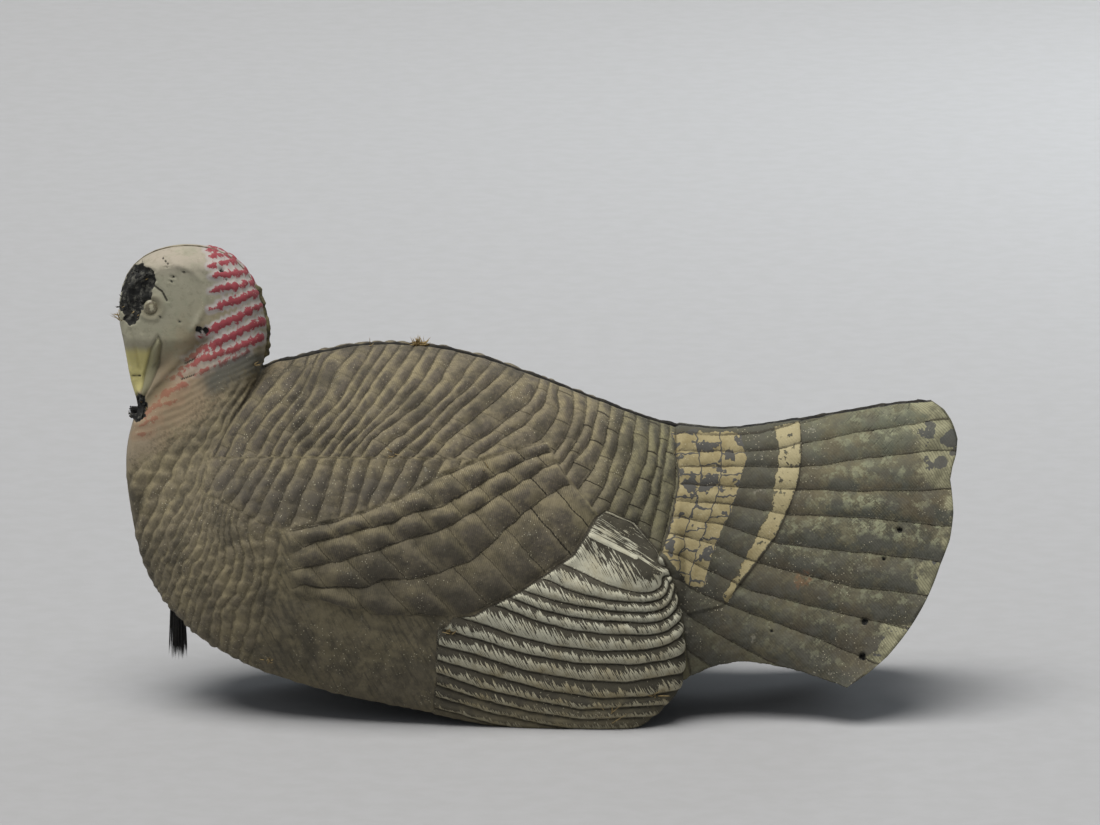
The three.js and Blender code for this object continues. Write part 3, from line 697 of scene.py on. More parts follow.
def bridge(one, two, flip=False):
    """Triangles between two vertex rows that run side by side, of any lengths."""
    faces, i, k = [], 0, 0
    m, n = len(one) - 1, len(two) - 1
    while i < m or k < n:
        if k == n or (i < m and (i + 1) / m <= (k + 1) / n):
            faces.append((one[i], one[i + 1], two[k]))
            i += 1
        else:
            faces.append((one[i], two[k + 1], two[k]))
            k += 1
    faces = np.array(faces)
    return faces[:, ::-1] if flip else faces


def surface_normals(grid):
    du = np.gradient(grid, axis=0)
    dv = np.gradient(grid, axis=1)
    normal = np.cross(du, dv)
    normal /= np.maximum(np.linalg.norm(normal, axis=-1, keepdims=True), 1e-9)
    return np.where(normal[..., 1:2] > 0, -normal, normal)


PARAMETERS = even_parameters()
INSIDE_FIELDS = {  # what the shell's inside, its fibres and its straw have instead of the outside's fields
    "valley": FAR, "socket": FAR, "rear": FAR, "fold": 0.0, "straw": 0.0, "seam": 0.0, "torn": 9.0,
    "head": -50.0, "pitch": 10.0,
}
OUT_OF_REACH = -9.0  # for every other field


def wall_at(u):
    return WALL + (TAIL_WALL - WALL) * smooth(u, TAIL_START, TAIL_FULL)


def wear_rear(shape, u, side):
    """Moves the tail's rear edge in where it has worn away, the same way as seen from the left."""
    view = shape[..., 2] - side * TILT * shape[..., 1]
    worn_q, worn_in = np.array(WORN_REAR, float).T
    shape[..., 0] -= np.interp(view, worn_q, worn_in) * smooth(u, LAST - 1.3, LAST)


def shape_outside(u, v, side):
    """The feathered outside as a grid, its outward directions, and the fields that its paint follows."""
    uu = np.repeat(u[:, None], DOWN, axis=1)
    plain = points(uu, v)
    down = np.linalg.norm(np.diff(plain, axis=1), axis=-1)
    seam = np.concatenate([np.zeros((ALONG, 1)), np.cumsum(down, axis=1)], axis=1)
    rim = seam[:, -1:] - seam
    open_rim = smooth(uu, RIM_START - 0.5, RIM_START + 0.5)
    closed_seam = np.where(open_rim > 0.5, seam, np.minimum(seam, rim))
    rim = np.where(open_rim > 0.5, rim, FAR)
    tail_end = points(np.full((1, DOWN), float(LAST)), v[-1:])
    rear = np.linalg.norm(plain - tail_end, axis=-1)
    x, q = plain[..., 0], plain[..., 2] + TILT * plain[..., 1]
    fields = dress(x, q, rear, closed_seam, rim, side < 0)
    height = fields.pop("height") * smooth(rear, 0, 2.5)
    height = np.where(uu < HEAD_END, height * smooth(closed_seam, 0.0, 2.0), height)
    limit = 0.9 * np.minimum(wall_at(uu), np.maximum(-plain[..., 1] - SEAM_HALF, 0) + 0.5)
    way = surface_normals(plain)
    shaped = plain + way * np.maximum(height, -limit)[..., None]
    shaped[:, 0, 1] = plain[:, 0, 1]
    ragged = 1.6 * (noise(x, q, 4, 70, 3) - 0.5) * open_rim
    ragged = ragged * smooth(4 - rim, 0, 4) * smooth(plain[..., 2], 1, 6)
    shaped[..., 2] = np.maximum(shaped[..., 2] + ragged, 0)
    shaped[..., 1] = np.minimum(shaped[..., 1], -SEAM_HALF)
    wear_rear(shaped, uu, side)
    fields["draw"] = np.stack([x, q, np.zeros_like(x)], axis=-1)
    return shaped, way, fields


def shape_inside(u, rim_heights, side):
    """The bare inside as a grid; where the rim is open it ends level with the outside."""
    uu = np.repeat(u[:, None], INNER_DOWN, axis=1)
    v = np.linspace(0, 1, INNER_DOWN)[None] * np.ones_like(uu)
    inner = points(uu, v, wall_at(uu))
    inner[..., 1] += 0.5 * (noise(inner[..., 0], inner[..., 2], 12, 80) - 0.5)
    inner[..., 1] = np.minimum(inner[..., 1], -SEAM_HALF)
    low = u > RIM_START - 0.4
    inner[low, -1, 2] = rim_heights[low]
    wear_rear(inner, uu, side)
    return inner


def make_skin(name, side):
    """One half shell: the moulded outside, the bare inside and the edges between them."""
    u, v = PARAMETERS
    hollow = u >= HOLLOW_START
    shaped, way, fields = shape_outside(u, v, side)
    inner = shape_inside(u[hollow], shaped[hollow, -1, 2], side)
    verts = np.concatenate([shaped.reshape(-1, 3), inner.reshape(-1, 3)]) * MM
    verts[:, 1] *= -side
    start = ALONG * DOWN
    index = np.arange(len(verts))
    out, inn = index[:start].reshape(ALONG, DOWN), index[start:].reshape(-1, INNER_DOWN)
    rear_of_solid = out[int(np.argmax(hollow)):]
    flip = side > 0
    faces = [
        grid_faces(ALONG, DOWN, 0, flip),
        grid_faces(len(inn), INNER_DOWN, start, not flip),
        bridge(rear_of_solid[:, 0], inn[:, 0], not flip),
        bridge(rear_of_solid[:, -1], inn[:, -1], flip),
        bridge(out[-1], inn[-1], not flip),
    ]
    data = {"draw": np.concatenate([fields.pop("draw").reshape(-1, 3), inner.reshape(-1, 3)])}
    for key, values in fields.items():
        fill = np.full(inner[..., 0].size, INSIDE_FIELDS.get(key, OUT_OF_REACH))
        data[key] = np.concatenate([values.ravel(), fill])
    if side < 0:
        extra, extra_faces = add_fibres(verts, data, way.reshape(-1, 3))
        faces += [part + len(verts) for part in extra_faces]
        verts = np.concatenate([verts, extra])
    thing = build_mesh(name, verts, faces, data)
    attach(thing, "bird")
    return thing


def thorn(root, way, length, radius, sag=0.0, rings=4, sides=5):
    """Vertices and faces of one closed, tapering fibre."""
    way = way / np.linalg.norm(way)
    other = np.cross(way, (0.3, 0.2, 0.93))
    other /= np.linalg.norm(other)
    third = np.cross(way, other)
    turn = np.linspace(0, 2 * np.pi, sides, endpoint=False)[:, None]
    verts = []
    for ring in range(rings):
        t = ring / rings
        middle = root + way * length * t + other * sag * t * t
        verts.append(middle + radius * (1 - 0.7 * t) * (np.cos(turn) * other + np.sin(turn) * third))
    verts = np.concatenate(verts + [[root + way * length + other * sag]])
    tip = len(verts) - 1
    k = np.arange(sides)
    after = (k + 1) % sides
    walls = [np.stack([k, after, after + sides, k + sides], 1) + r * sides for r in range(rings - 1)]
    last = (rings - 1) * sides
    caps = [np.stack([k + last, after + last, np.full(sides, tip)], 1), k[::-1][None]]
    return verts, walls, caps


def join_thorns(thorns):
    """All fibres as one list of vertices, and their faces grouped by number of corners."""
    verts, faces, count = [], [], 0
    for corners, walls, caps in thorns:
        verts.append(corners)
        faces += [part + count for part in walls + caps]
        count += len(corners)
    by_size = {}
    for part in faces:
        by_size.setdefault(part.shape[1], []).append(part)
    return np.concatenate(verts), [np.concatenate(parts) for parts in by_size.values()]


def add_fibres(verts, data, normals):
    """Frayed foam that stands out of the torn places, and caught straw, as small closed spikes."""
    outer = verts[: len(normals)]
    torn, draw = data["torn"][: len(normals)], data["draw"][: len(normals)]
    places = np.flatnonzero((torn > 0.3) & (outer[:, 0] < -333 * MM))
    thorns, straw = [], []
    for pick in rng.choice(places, FIBRES):
        way = normals[pick] + rng.normal(0, 0.9, 3) + np.array([-0.5, 0, 0])
        thorns.append(thorn(outer[pick] - normals[pick] * MM, way, rng.uniform(1.5, 6) * MM,
                            rng.uniform(0.3, 1.2) * MM, rng.normal(0, 1.5) * MM))
        straw.append(0.0 if rng.uniform() < 0.86 else 1.0)
    for x, q, number, longest in STRAWS:
        for _ in range(number):
            at = np.array([x, q]) + rng.normal(0, 0.18, 2) * longest
            pick = np.argmin(((draw[:, :2] - at) ** 2).sum(1))
            way = normals[pick] * 0.35 + rng.normal(0, 1, 3) * (1, 0.35, 0.6)
            way[2] = abs(way[2])
            thorns.append(thorn(outer[pick] + normals[pick] * 0.2 * MM, way,
                                rng.uniform(0.35, 1) * longest * MM, rng.uniform(0.25, 0.75) * MM,
                                rng.normal(0, 0.15) * longest * MM))
            straw.append(1.0)
    more, faces = join_thorns(thorns)
    more[:, 2] = np.maximum(more[:, 2], 0)
    data["straw"] = np.zeros(len(verts))
    for key, values in data.items():
        fill = INSIDE_FIELDS.get(key, OUT_OF_REACH)
        extra = np.full((len(more),) + values.shape[1:], fill)
        if key == "straw":
            extra = np.repeat(straw, [len(t[0]) for t in thorns])
        data[key] = np.concatenate([values, extra])
    return more, faces


def make_beard():
    """The tuft of stiff bristles, from the ferrule down to a ragged tip."""
    low, high = (np.array(c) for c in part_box("beard_bristles"))
    top = np.array([(low[0] + high[0]) / 2, (low[1] + high[1]) / 2, high[2]])
    length = high[2] - low[2]
    thorns = []
    for _ in range(BRISTLES):
        angle, reach = rng.uniform(0, 2 * np.pi), math.sqrt(rng.uniform(0, 1))
        outwards = np.array([math.cos(angle), math.sin(angle), 0])
        root = top + outwards * BEARD_ROOT * reach * MM
        foot = top + outwards * BEARD_TIP * reach * MM - np.array([0, 0, length * rng.uniform(0.84, 1.0)])
        way = foot - root
        thorns.append(thorn(root, way, np.linalg.norm(way), 0.75 * MM, rng.normal(0, 0.8) * MM, 6))
    verts, faces = join_thorns(thorns)
    thing = build_mesh("beard_hair", verts, faces)
    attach(thing, "beard")
    return thing


def make_flash(name, start, end, low, high, seed):
    """A ragged line of squeezed-out glue standing on the seam, between two sections."""
    u = np.linspace(start, end, int((end - start) * FLASH_STEPS))
    tx, tz = sections_at(u)[:2]
    along = np.stack([np.gradient(tx), np.gradient(tz)], 1)
    along /= np.linalg.norm(along, axis=1, keepdims=True)
    out = np.stack([-along[:, 1], along[:, 0]], 1)
    length = np.concatenate([[0], np.cumsum(np.hypot(np.diff(tx), np.diff(tz)))])
    rise = low + (high - low) * noise(length, length * 0, 9, seed, 3) ** 1.5
    rise *= smooth(length, 0, 12) * smooth(length[-1] - length, 0, 12)
    lean = 0.8 * (noise(length, length * 0, 22, seed + 5) - 0.5)
    rings = []
    for half, level in ((1.15, -3.0), (1.2, 0.0), (0.6, 1.0)):
        for side in (-1, 1):
            reach = np.where(level > 0, rise, level)
            rings.append(np.stack([tx + out[:, 0] * reach, side * half + lean * (level > 0),
                                   tz + out[:, 1] * reach], 1))
    order = [0, 2, 4, 5, 3, 1]
    ring = np.stack([rings[k] for k in order], axis=1)
    n, m = ring.shape[:2]
    i, k = np.meshgrid(np.arange(n - 1), np.arange(m), indexing="ij")
    a, b = i * m + k, i * m + (k + 1) % m
    walls = np.stack([a, b, b + m, a + m], -1).reshape(-1, 4)
    ends = np.array([np.arange(m)[::-1], np.arange(m) + (n - 1) * m])
    thing = build_mesh(name, ring.reshape(-1, 3) * MM, [walls, ends])
    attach(thing, "bird")
    return thing


# ---- materials ----
class Value:
    """A node's output. Arithmetic on it adds math nodes."""

    def __init__(self, shader, socket):
        self.shader, self.socket = shader, socket

    def __add__(self, other):
        return self.shader.math("ADD", self, other)

    def __sub__(self, other):
        return self.shader.math("SUBTRACT", self, other)

    def __rsub__(self, other):
        return self.shader.math("SUBTRACT", other, self)

    def __mul__(self, other):
        return self.shader.math("MULTIPLY", self, other)

    def __truediv__(self, other):
        return self.shader.math("DIVIDE", self, other)

    def __abs__(self):
        return self.shader.math("ABSOLUTE", self)


class Shader:
    """A short way to write a node material. Values that several functions share are kept on it."""

    def __init__(self, name):
        self.material = bpy.data.materials.new(name)
        self.material.use_nodes = True
        self.tree = self.material.node_tree
        self.tree.nodes.clear()
        self.output = self.tree.nodes.new("ShaderNodeOutputMaterial")

    def add(self, kind, inputs=None, output=0, **settings):
        made = self.tree.nodes.new("ShaderNode" + kind)
        for key, value in settings.items():
            setattr(made, key, value)
        for key, value in (inputs or {}).items():
            if isinstance(value, Value):
                self.tree.links.new(value.socket, made.inputs[key])
            else:
                made.inputs[key].default_value = value
        return Value(self, made.outputs[output])

    def field(self, name):
        return self.add("Attribute", attribute_name=name, attribute_type="GEOMETRY", output="Fac")

    def vector(self, name):
        return self.add("Attribute", attribute_name=name, attribute_type="GEOMETRY", output="Vector")

    def object_place(self):
        return self.add("TexCoord", output="Object")

    def math(self, operation, a, b=0.0, clamp=False):
        return self.add("Math", {0: a, 1: b}, operation=operation, use_clamp=clamp)

    def fract(self, value):
        return self.math("FRACT", value)

    def floor(self, value):
        return self.math("FLOOR", value)

    def sine(self, value):
        return self.math("SINE", value)

    def least(self, a, b):
        return self.math("MINIMUM", a, b)

    def most(self, a, b):
        return self.math("MAXIMUM", a, b)

    def ramp(self, value, low, high, to_low=0.0, to_high=1.0):
        return self.add("MapRange", {"Value": value, "From Min": low, "From Max": high, "To Min": to_low,
                                     "To Max": to_high}, interpolation_type="SMOOTHSTEP")

    def noise(self, place, scale, detail=3.0, rough=0.55):
        inputs = {"Vector": place, "Scale": scale, "Detail": detail, "Roughness": rough}
        return self.add("TexNoise", inputs, output="Fac")

    def cells(self, place, scale):
        return self.add("TexVoronoi", {"Vector": place, "Scale": scale}, output="Distance")

    def turned(self, place, angle, scale):
        """Coordinates along axes turned by an angle, divided by the given sizes."""
        turn = (0, 0, math.radians(angle))
        return self.add("Mapping", {"Vector": place, "Rotation": turn, "Scale": scale}, vector_type="TEXTURE")

    def split(self, vector):
        made = self.tree.nodes.new("ShaderNodeSeparateXYZ")
        self.tree.links.new(vector.socket, made.inputs[0])
        return [Value(self, socket) for socket in made.outputs]

    def join(self, x, y):
        return self.add("CombineXYZ", {0: x, 1: y})

    def mix_value(self, factor, a, b):
        return self.add("Mix", {0: factor, 2: a, 3: b}, data_type="FLOAT")

    def mix(self, factor, a, b, blend="MIX"):
        return self.add("Mix", {0: factor, 6: self.colour(a), 7: self.colour(b)}, output=2,
                        data_type="RGBA", blend_type=blend)

    def colour(self, value):
        return value if isinstance(value, Value) else (*value, 1.0)

    def bump(self, height, distance, strength=1.0, normal=None):
        inputs = {"Height": height, "Distance": distance, "Strength": strength}
        if normal is not None:
            inputs["Normal"] = normal
        return self.add("Bump", inputs)

    def finish(self, colour, roughness, normal=None, **constants):
        inputs = {"Base Color": self.colour(colour), "Roughness": roughness}
        if normal is not None:
            inputs["Normal"] = normal
        for key, value in constants.items():
            inputs[key.replace("_", " ").title().replace("Ior", "IOR")] = value
        shader = self.add("BsdfPrincipled", inputs)
        self.tree.links.new(shader.socket, self.output.inputs["Surface"])
        return self.material


# paint, as linear red, green and blue
TAUPE = (0.190, 0.160, 0.104)
PURPLE_GREY = (0.122, 0.103, 0.078)
OLIVE_DUST = (0.285, 0.240, 0.140)
DARK_PAINT = (0.050, 0.045, 0.033)
# painted shade for the grooves, cracks and steps of the moulded feathers
GROOVE_SHADE = (0.045, 0.038, 0.026)
RAW_FOAM = (0.014, 0.014, 0.013)
CREAM = (0.340, 0.285, 0.155)
CREAM_DUST = (0.215, 0.170, 0.080)
WING_WHITE = (0.500, 0.485, 0.375)
FACE_WHITE = (0.345, 0.330, 0.245)
CROWN_CREAM = (0.375, 0.330, 0.265)
NECK_BEIGE = (0.275, 0.230, 0.145)
NAPE_GREY = (0.085, 0.088, 0.076)
RED_PAINT = (0.270, 0.035, 0.048)
LAVENDER = (0.400, 0.365, 0.350)
BILL_OLIVE = (0.520, 0.465, 0.200)
JAW_GREEN = (0.250, 0.235, 0.145)
TAIL_BLUISH = (0.066, 0.073, 0.065)
TAIL_PALE = (0.370, 0.350, 0.235)
TAIL_SUNNED = (0.310, 0.300, 0.210)
TAIL_SCRAPED = (0.360, 0.340, 0.250)
TAIL_BROWN = (0.150, 0.105, 0.066)
FRONT_SHADE = (0.780, 0.780, 0.790)
REAR_TINT = (0.820, 0.900, 0.840)
TAIL_ROOT = (0.062, 0.058, 0.044)
SQUARE_BROWN = (0.092, 0.082, 0.068)
TAIL_GRIME = (0.105, 0.100, 0.082)
LOW_DUST = (0.240, 0.205, 0.125)
BRIGHT_CREAM = (0.400, 0.350, 0.205)
BAND_GROUND = (0.085, 0.082, 0.075)
TIP_PALE = (0.330, 0.315, 0.195)
TIP_DULL = (0.190, 0.180, 0.110)
TIP_BARE = (0.075, 0.075, 0.072)
RUST = (0.220, 0.095, 0.040)
FACE_SHADE = (0.215, 0.190, 0.125)
FACE_OLIVE = (0.270, 0.275, 0.195)
FACE_PALE = (0.420, 0.390, 0.300)
FACE_GRIT = (0.140, 0.130, 0.085)
SOCKET_BROWN = (0.200, 0.175, 0.115)
FOLD_BROWN = (0.150, 0.130, 0.082)
NECK_FLUSH = (0.300, 0.205, 0.130)
FADED_RED = (0.270, 0.105, 0.065)
JAW_LINE = (0.060, 0.055, 0.030)
# painted shade in the crease between the jaw and the neck
VALLEY_SHADE = (0.130, 0.110, 0.060)
CUT_BLACK = (0.030, 0.027, 0.020)
SPECK = (0.460, 0.420, 0.300)
SCUFF = (0.400, 0.370, 0.290)
SHRED_GREY = (0.150, 0.145, 0.120)
STRAW_PALE = (0.400, 0.300, 0.140)
STRAW_DARK = (0.240, 0.170, 0.075)
# painted highlight in the middle of the eye
EYE_HIGHLIGHT = (0.400, 0.370, 0.260)
EYE_KHAKI = (0.270, 0.245, 0.165)
EYE_DIRT = (0.130, 0.115, 0.075)
EYE_RING = (0.150, 0.128, 0.082)
EYE_RIM = (0.260, 0.240, 0.165)
PAPER_DARK = (0.355, 0.355, 0.358)
PAPER_LIGHT = (0.370, 0.370, 0.376)
RUST_PLACE = (228, 107, 0)  # on the drawing plane
DULL = {  # dark and light colour, grain per metre and roughness of the plain materials
    "seam_glue": ((0.020, 0.019, 0.018), (0.060, 0.055, 0.042), 120, 0.8),
    "head_glue": ((0.12, 0.105, 0.07), (0.44, 0.38, 0.27), 90, 0.8),
    "old_glue": ((0.045, 0.042, 0.030), (0.330, 0.290, 0.150), 130, 0.8),
    "raw_foam": (RAW_FOAM, (0.05, 0.05, 0.048), 200, 0.8),
    "black_plastic": ((0.012, 0.012, 0.012), (0.03, 0.03, 0.028), 80, 0.45),
    "pin_steel": ((0.30, 0.29, 0.27), (0.5, 0.49, 0.46), 300, 0.35),
    "bristle": ((0.008, 0.008, 0.008), (0.035, 0.032, 0.026), 500, 0.5),
}


def read_feathers(s):
    """Reads where the rows and their feathers run; s.f goes from 0 to 1 across a row, to its free edge."""
    s.at = s.object_place()
    s.draw = s.vector("draw")
    s.phase, pitch, along, s.amount = (s.field(k) for k in ("phase", "pitch", "along", "amount"))
    s.broad = s.noise(s.at, 9, 3)
    s.mottle = s.noise(s.at, 60, 5, 0.65)
    s.fine = s.noise(s.at, 420, 4, 0.7)
    s.across, s.up, _ = s.split(s.draw)
    s.f = s.fract(s.phase)
    row = s.floor(s.phase)
    # masks for the painted shade in the grooves between rows and the cracks between feathers; they also drive
    # fine bumps
    groove_gap = s.least(s.f, 1.0 - s.f) * pitch + s.ramp(s.fine, 0.3, 0.7, -0.35, 0.35)
    s.groove = s.ramp(groove_gap, 1.3, 0.2) * s.amount
    s.uneven = s.ramp(s.noise(s.at, 34, 3), 0.3, 0.65, 0.3, 0.85)
    part = along + s.fract(row * GOLDEN)
    s.part_gap = abs(s.fract(part + 0.5) - 0.5)
    feather = s.join(row, s.floor(part))
    s.tint = s.add("TexWhiteNoise", {"Vector": feather}, output="Value", noise_dimensions="2D")
    s.crack = s.ramp(s.part_gap, 0.035, 0.0) * s.field("pillow")
    s.crack = s.crack * s.ramp(s.across, -40, 30, 0.8, 3.4)
    s.crack = s.crack * (s.amount * s.ramp(s.tint, 0.1, 0.6, 0.3, 1.5))


def feather_paint(s):
    """Bark brown feathers with darker middles, dusted and inked along their barbs."""
    rounded = s.math("MULTIPLY", s.field("pillow"), 1.2, clamp=True)
    middle = s.mix_value(rounded, 1.0, s.ramp(s.part_gap, 0.02, 0.3))
    centre = s.ramp(s.f, 0.2, 0.62) * s.amount * middle
    shade = s.ramp(s.mottle, 0.25, 0.75) + s.tint * 0.35 + centre * 0.75
    body = s.mix(s.ramp(shade, 0.6, 1.45), TAUPE, PURPLE_GREY)
    dusty = (s.ramp(s.broad, 0.35, 0.7, 0, 0.5) + s.ramp(s.mottle, 0.35, 0.7, 0, 0.6)) * (1.15 - centre)
    body = s.mix(s.ramp(dusty, 0.15, 0.95, 0, 0.85), body, OLIVE_DUST)
    s.grit = s.noise(s.at, 190, 3, 0.7)
    body = s.mix(s.ramp(s.grit, 0.42, 0.66, 0, 0.42), body, DARK_PAINT)
    body = s.mix(s.ramp(s.fine, 0.5, 0.72, 0, 0.5), body, OLIVE_DUST)
    s.barb = s.sine(s.field("barb") * (2 * math.pi))
    s.tail = s.ramp(s.field("tail"), -1.0, 1.0)
    s.patchy = s.noise(s.at, 26, 4, 0.6)
    barb_ink = s.ramp(s.mottle, 0.35, 0.65, 0.05, 0.3) + s.tail * s.ramp(s.patchy, 0.42, 0.6, -0.1, 0.6)
    barb_ink = barb_ink + s.ramp(s.field("wing"), 0, 4, 0, 0.22)
    barb_shade = s.ramp(s.barb, -0.2, 1.0) * barb_ink
    return s.mix(barb_shade * s.amount, body, DARK_PAINT)


def weather(s, body):
    """Dark and dusty patches all over, and bluish, sunned, scratched and brown ones on the tail."""
    body = s.mix(s.ramp(s.patchy, 0.5, 0.64, 0, 0.5), body, DARK_PAINT)
    body = s.mix(s.ramp(s.patchy, 0.44, 0.34, 0, 0.45), body, OLIVE_DUST)
    cool = s.ramp(s.f, 0.3, 0.8, 0.25, 1.0) * s.ramp(s.mottle, 0.4, 0.58)
    body = s.mix(s.tail * cool * 0.75, body, TAIL_BLUISH)
    pale = s.ramp(s.noise(s.at, 110, 5, 0.75), 0.51, 0.6) * s.ramp(s.f, 0.85, 0.4)
    body = s.mix(s.tail * pale * 0.75, body, TAIL_PALE)
    sunned = s.ramp(s.up, 180, 250, 0, 0.45) * s.ramp(s.mottle, 0.3, 0.6, 0.3, 1.0)
    body = s.mix(s.tail * sunned, body, TAIL_SUNNED)
    scratch = s.noise(s.turned(s.draw, -42, (1.1, 14, 1)), 1.0, 2, 0.6)
    scratch = s.ramp(scratch, 0.57, 0.66) * (s.tail * s.ramp(s.patchy, 0.38, 0.56))
    body = s.mix(scratch * 0.75, body, DARK_PAINT)
    scraped = s.noise(s.turned(s.draw, -38, (0.9, 8, 1)), 1.0, 3, 0.7)
    scraped = s.ramp(scraped, 0.6, 0.68, 0, 0.45) * s.tail
    body = s.mix(scraped, body, TAIL_SCRAPED)
    browned = s.ramp(s.noise(s.at, 17, 4, 0.6), 0.48, 0.6, 0, 0.45)
    return s.mix(browned * s.tail, body, TAIL_BROWN)


def grime_and_shade(s, body):
    """Wiped and dusty lower sides, slow changes of tone along the bird, the tail's smooth dark root, and
    painted shade on the front of the mantle, towards the bottom and along creases low on the side.
    """
    plain = s.ramp(s.amount, 0.35, 0.1) * (1.0 - s.tail)
    wiped = s.noise(s.turned(s.draw, 28, (3.0, 24, 1)), 1.0, 4, 0.65)
    body = s.mix(plain * s.ramp(wiped, 0.45, 0.68, 0, 0.7), body, DARK_PAINT)
    settled = s.ramp(s.noise(s.at, 22, 5, 0.7), 0.5, 0.6, 0, 0.6)
    body = s.mix(plain * settled, body, OLIVE_DUST)
    # painted shade: the front of the mantle and the shoulder darkened
    front_shade = s.ramp(s.across, -140, -215) * s.ramp(s.up, 205, 235)
    body = s.mix(front_shade, body, FRONT_SHADE, "MULTIPLY")
    greened = s.ramp(s.across + s.up * -0.2, -30, 70, 0, 0.9)
    body = s.mix(greened, body, REAR_TINT, "MULTIPLY")
    root = s.tail * s.ramp(s.across + s.up * -0.55, 170, 60)
    body = s.mix(root * 0.75, body, TAIL_ROOT)
    squares = s.ramp(s.field("mid"), 2, 9) * s.ramp(s.up, 214, 192)
    body = s.mix(squares * s.ramp(s.mottle, 0.35, 0.6, 0.1, 0.65), body, SQUARE_BROWN)
    # painted shade: darker towards the bottom, where the side turns under, away from the light
    low_shade = s.ramp(s.up + s.mottle * -80, 185, 20, 0, 0.55)
    low_shade = low_shade * (1.0 - s.ramp(s.across, -300, -200, 0.8, 0))
    body = s.mix(low_shade, body, DARK_PAINT)
    # painted shade along the creases low on the side
    body = s.mix(s.ramp(s.field("smudge"), -3, 3, 0, 0.55), body, DARK_PAINT)
    return s.mix(s.tail * s.ramp(s.mottle, 0.45, 0.62, 0, 0.45), body, TAIL_GRIME)


def white_feathers(s, body):
    """The white wing feathers: ragged white barbs over dark paint."""
    top = s.ramp(s.field("top"), -0.5, 0.5)
    ragged = s.mix_value(top, s.noise(s.turned(s.draw, 29, (1.5, 15, 1)), 1.0, 2, 0.6),
                         s.noise(s.turned(s.draw, 58, (1.3, 22, 1)), 1.0, 2, 0.6))
    hatch = s.mix_value(top, s.noise(s.turned(s.draw, 29, (0.75, 26, 1)), 1.0, 1, 0.5),
                        s.noise(s.turned(s.draw, 62, (0.9, 24, 1)), 1.0, 1, 0.5))
    cover = s.f + (ragged - 0.5) * 1.5 - s.ramp(s.across + s.mottle * 50, -75, -20, 0.22, 0.0)
    cover = cover - s.ramp(s.up + s.mottle * 30, 50, 0, 0, 0.22) + top * 0.34
    cover = cover - s.ramp(s.phase, WHITE_START, WHITE_START - 0.1, 0, 0.24)
    hatched = s.most(s.ramp(hatch, 0.36, 0.42), s.ramp(s.f, 0.8, 0.92))
    painted = s.most(s.ramp(cover, 0.34, 0.4) * hatched, s.ramp(s.field("shaft"), -0.3, 0.3))
    on_white = s.ramp(s.field("white"), -0.5, 0.8)
    s.white = painted * on_white
    dark_wing = s.mix(on_white * 0.85, body, DARK_PAINT)
    # dirt in patches, and painted shade towards the bottom, where the side turns under
    soil_and_shade = s.ramp(s.mottle, 0.4, 0.7, 0, 0.5) + s.ramp(s.up, 70, 0, 0, 0.55)
    soiled_and_shaded = s.mix(soil_and_shade, WING_WHITE, OLIVE_DUST)
    body = s.mix(s.white, dark_wing, soiled_and_shaded)
    dusted = s.ramp(s.up * -1.0 + s.mottle * 60, 22, 60)
    return s.mix(dusted * 0.5, body, LOW_DUST)


def cream_bands(s, body):
    """Cream bands across the tail, the wide one cracked into bricks and chipped."""
    edge_noise = s.ramp(s.mottle, 0.3, 0.7, -1.8, 1.8)
    wander = (s.noise(s.draw, 0.09, 2) - 0.5) * 0.55
    bricks = s.join(s.up / BRICK_HEIGHT + wander, s.field("column") + wander)
    mortar = s.add("TexBrick", {"Vector": bricks, "Scale": 1.0, "Mortar Size": 0.035,
                                "Mortar Smooth": 0.1, "Brick Width": 1.0, "Row Height": 1.0},
                   output="Fac", offset=0.45)
    chips = s.noise(s.draw, 0.05, 3, 0.6)
    chip_zone = s.ramp(s.up, 150, 215, 0.61, 0.535)
    whole = s.ramp(chips - chip_zone, 0.008, -0.008)
    in_band = s.ramp(s.field("band") + edge_noise, -0.3, 0.3)
    wide = in_band * whole * (1.0 - mortar)
    narrow = s.ramp(s.field("narrow") + edge_noise, -0.3, 0.4) * s.ramp(s.noise(s.draw, 0.16, 3), 0.36, 0.42)
    s.cream = s.most(wide, narrow)
    creamy = s.mix(s.ramp(s.mottle, 0.35, 0.7, 0, 0.75), CREAM, CREAM_DUST)
    creamy = s.mix(narrow * s.ramp(s.up, 130, 220, 0.1, 0.8), creamy, BRIGHT_CREAM)
    body = s.mix(in_band * 0.9, body, BAND_GROUND)
    return s.mix(s.cream, body, creamy)


def worn_edge(s, body):
    """Worn pale paint along the rear edge of the tail, and one rust stain."""
    tip = s.field("rear") + s.noise(s.at, 60, 5, 0.68) * 60 + s.tint * -26
    tip = s.ramp(tip - s.ramp(s.up, 170, 225, 0, 13), 34, 22)
    tip_chip = s.ramp(s.noise(s.draw, 0.06, 3, 0.6), 0.61, 0.595) * s.ramp(s.field("chips"), 0.3, -0.3)
    pale_tip = s.mix(s.ramp(s.mottle, 0.4, 0.6), TIP_PALE, TIP_DULL)
    pale_tip = s.mix(s.ramp(s.barb, 0.3, 1.0) * 0.5, pale_tip, DARK_PAINT)
    body = s.mix(tip * s.tail * 0.8, body, s.mix(tip_chip, TIP_BARE, pale_tip))
    rust = s.add("VectorMath", {0: s.draw, 1: RUST_PLACE}, output="Value", operation="DISTANCE")
    rust = s.ramp(rust + s.grit * 40, 30, 20)
    return s.mix(rust * 0.4, body, RUST)


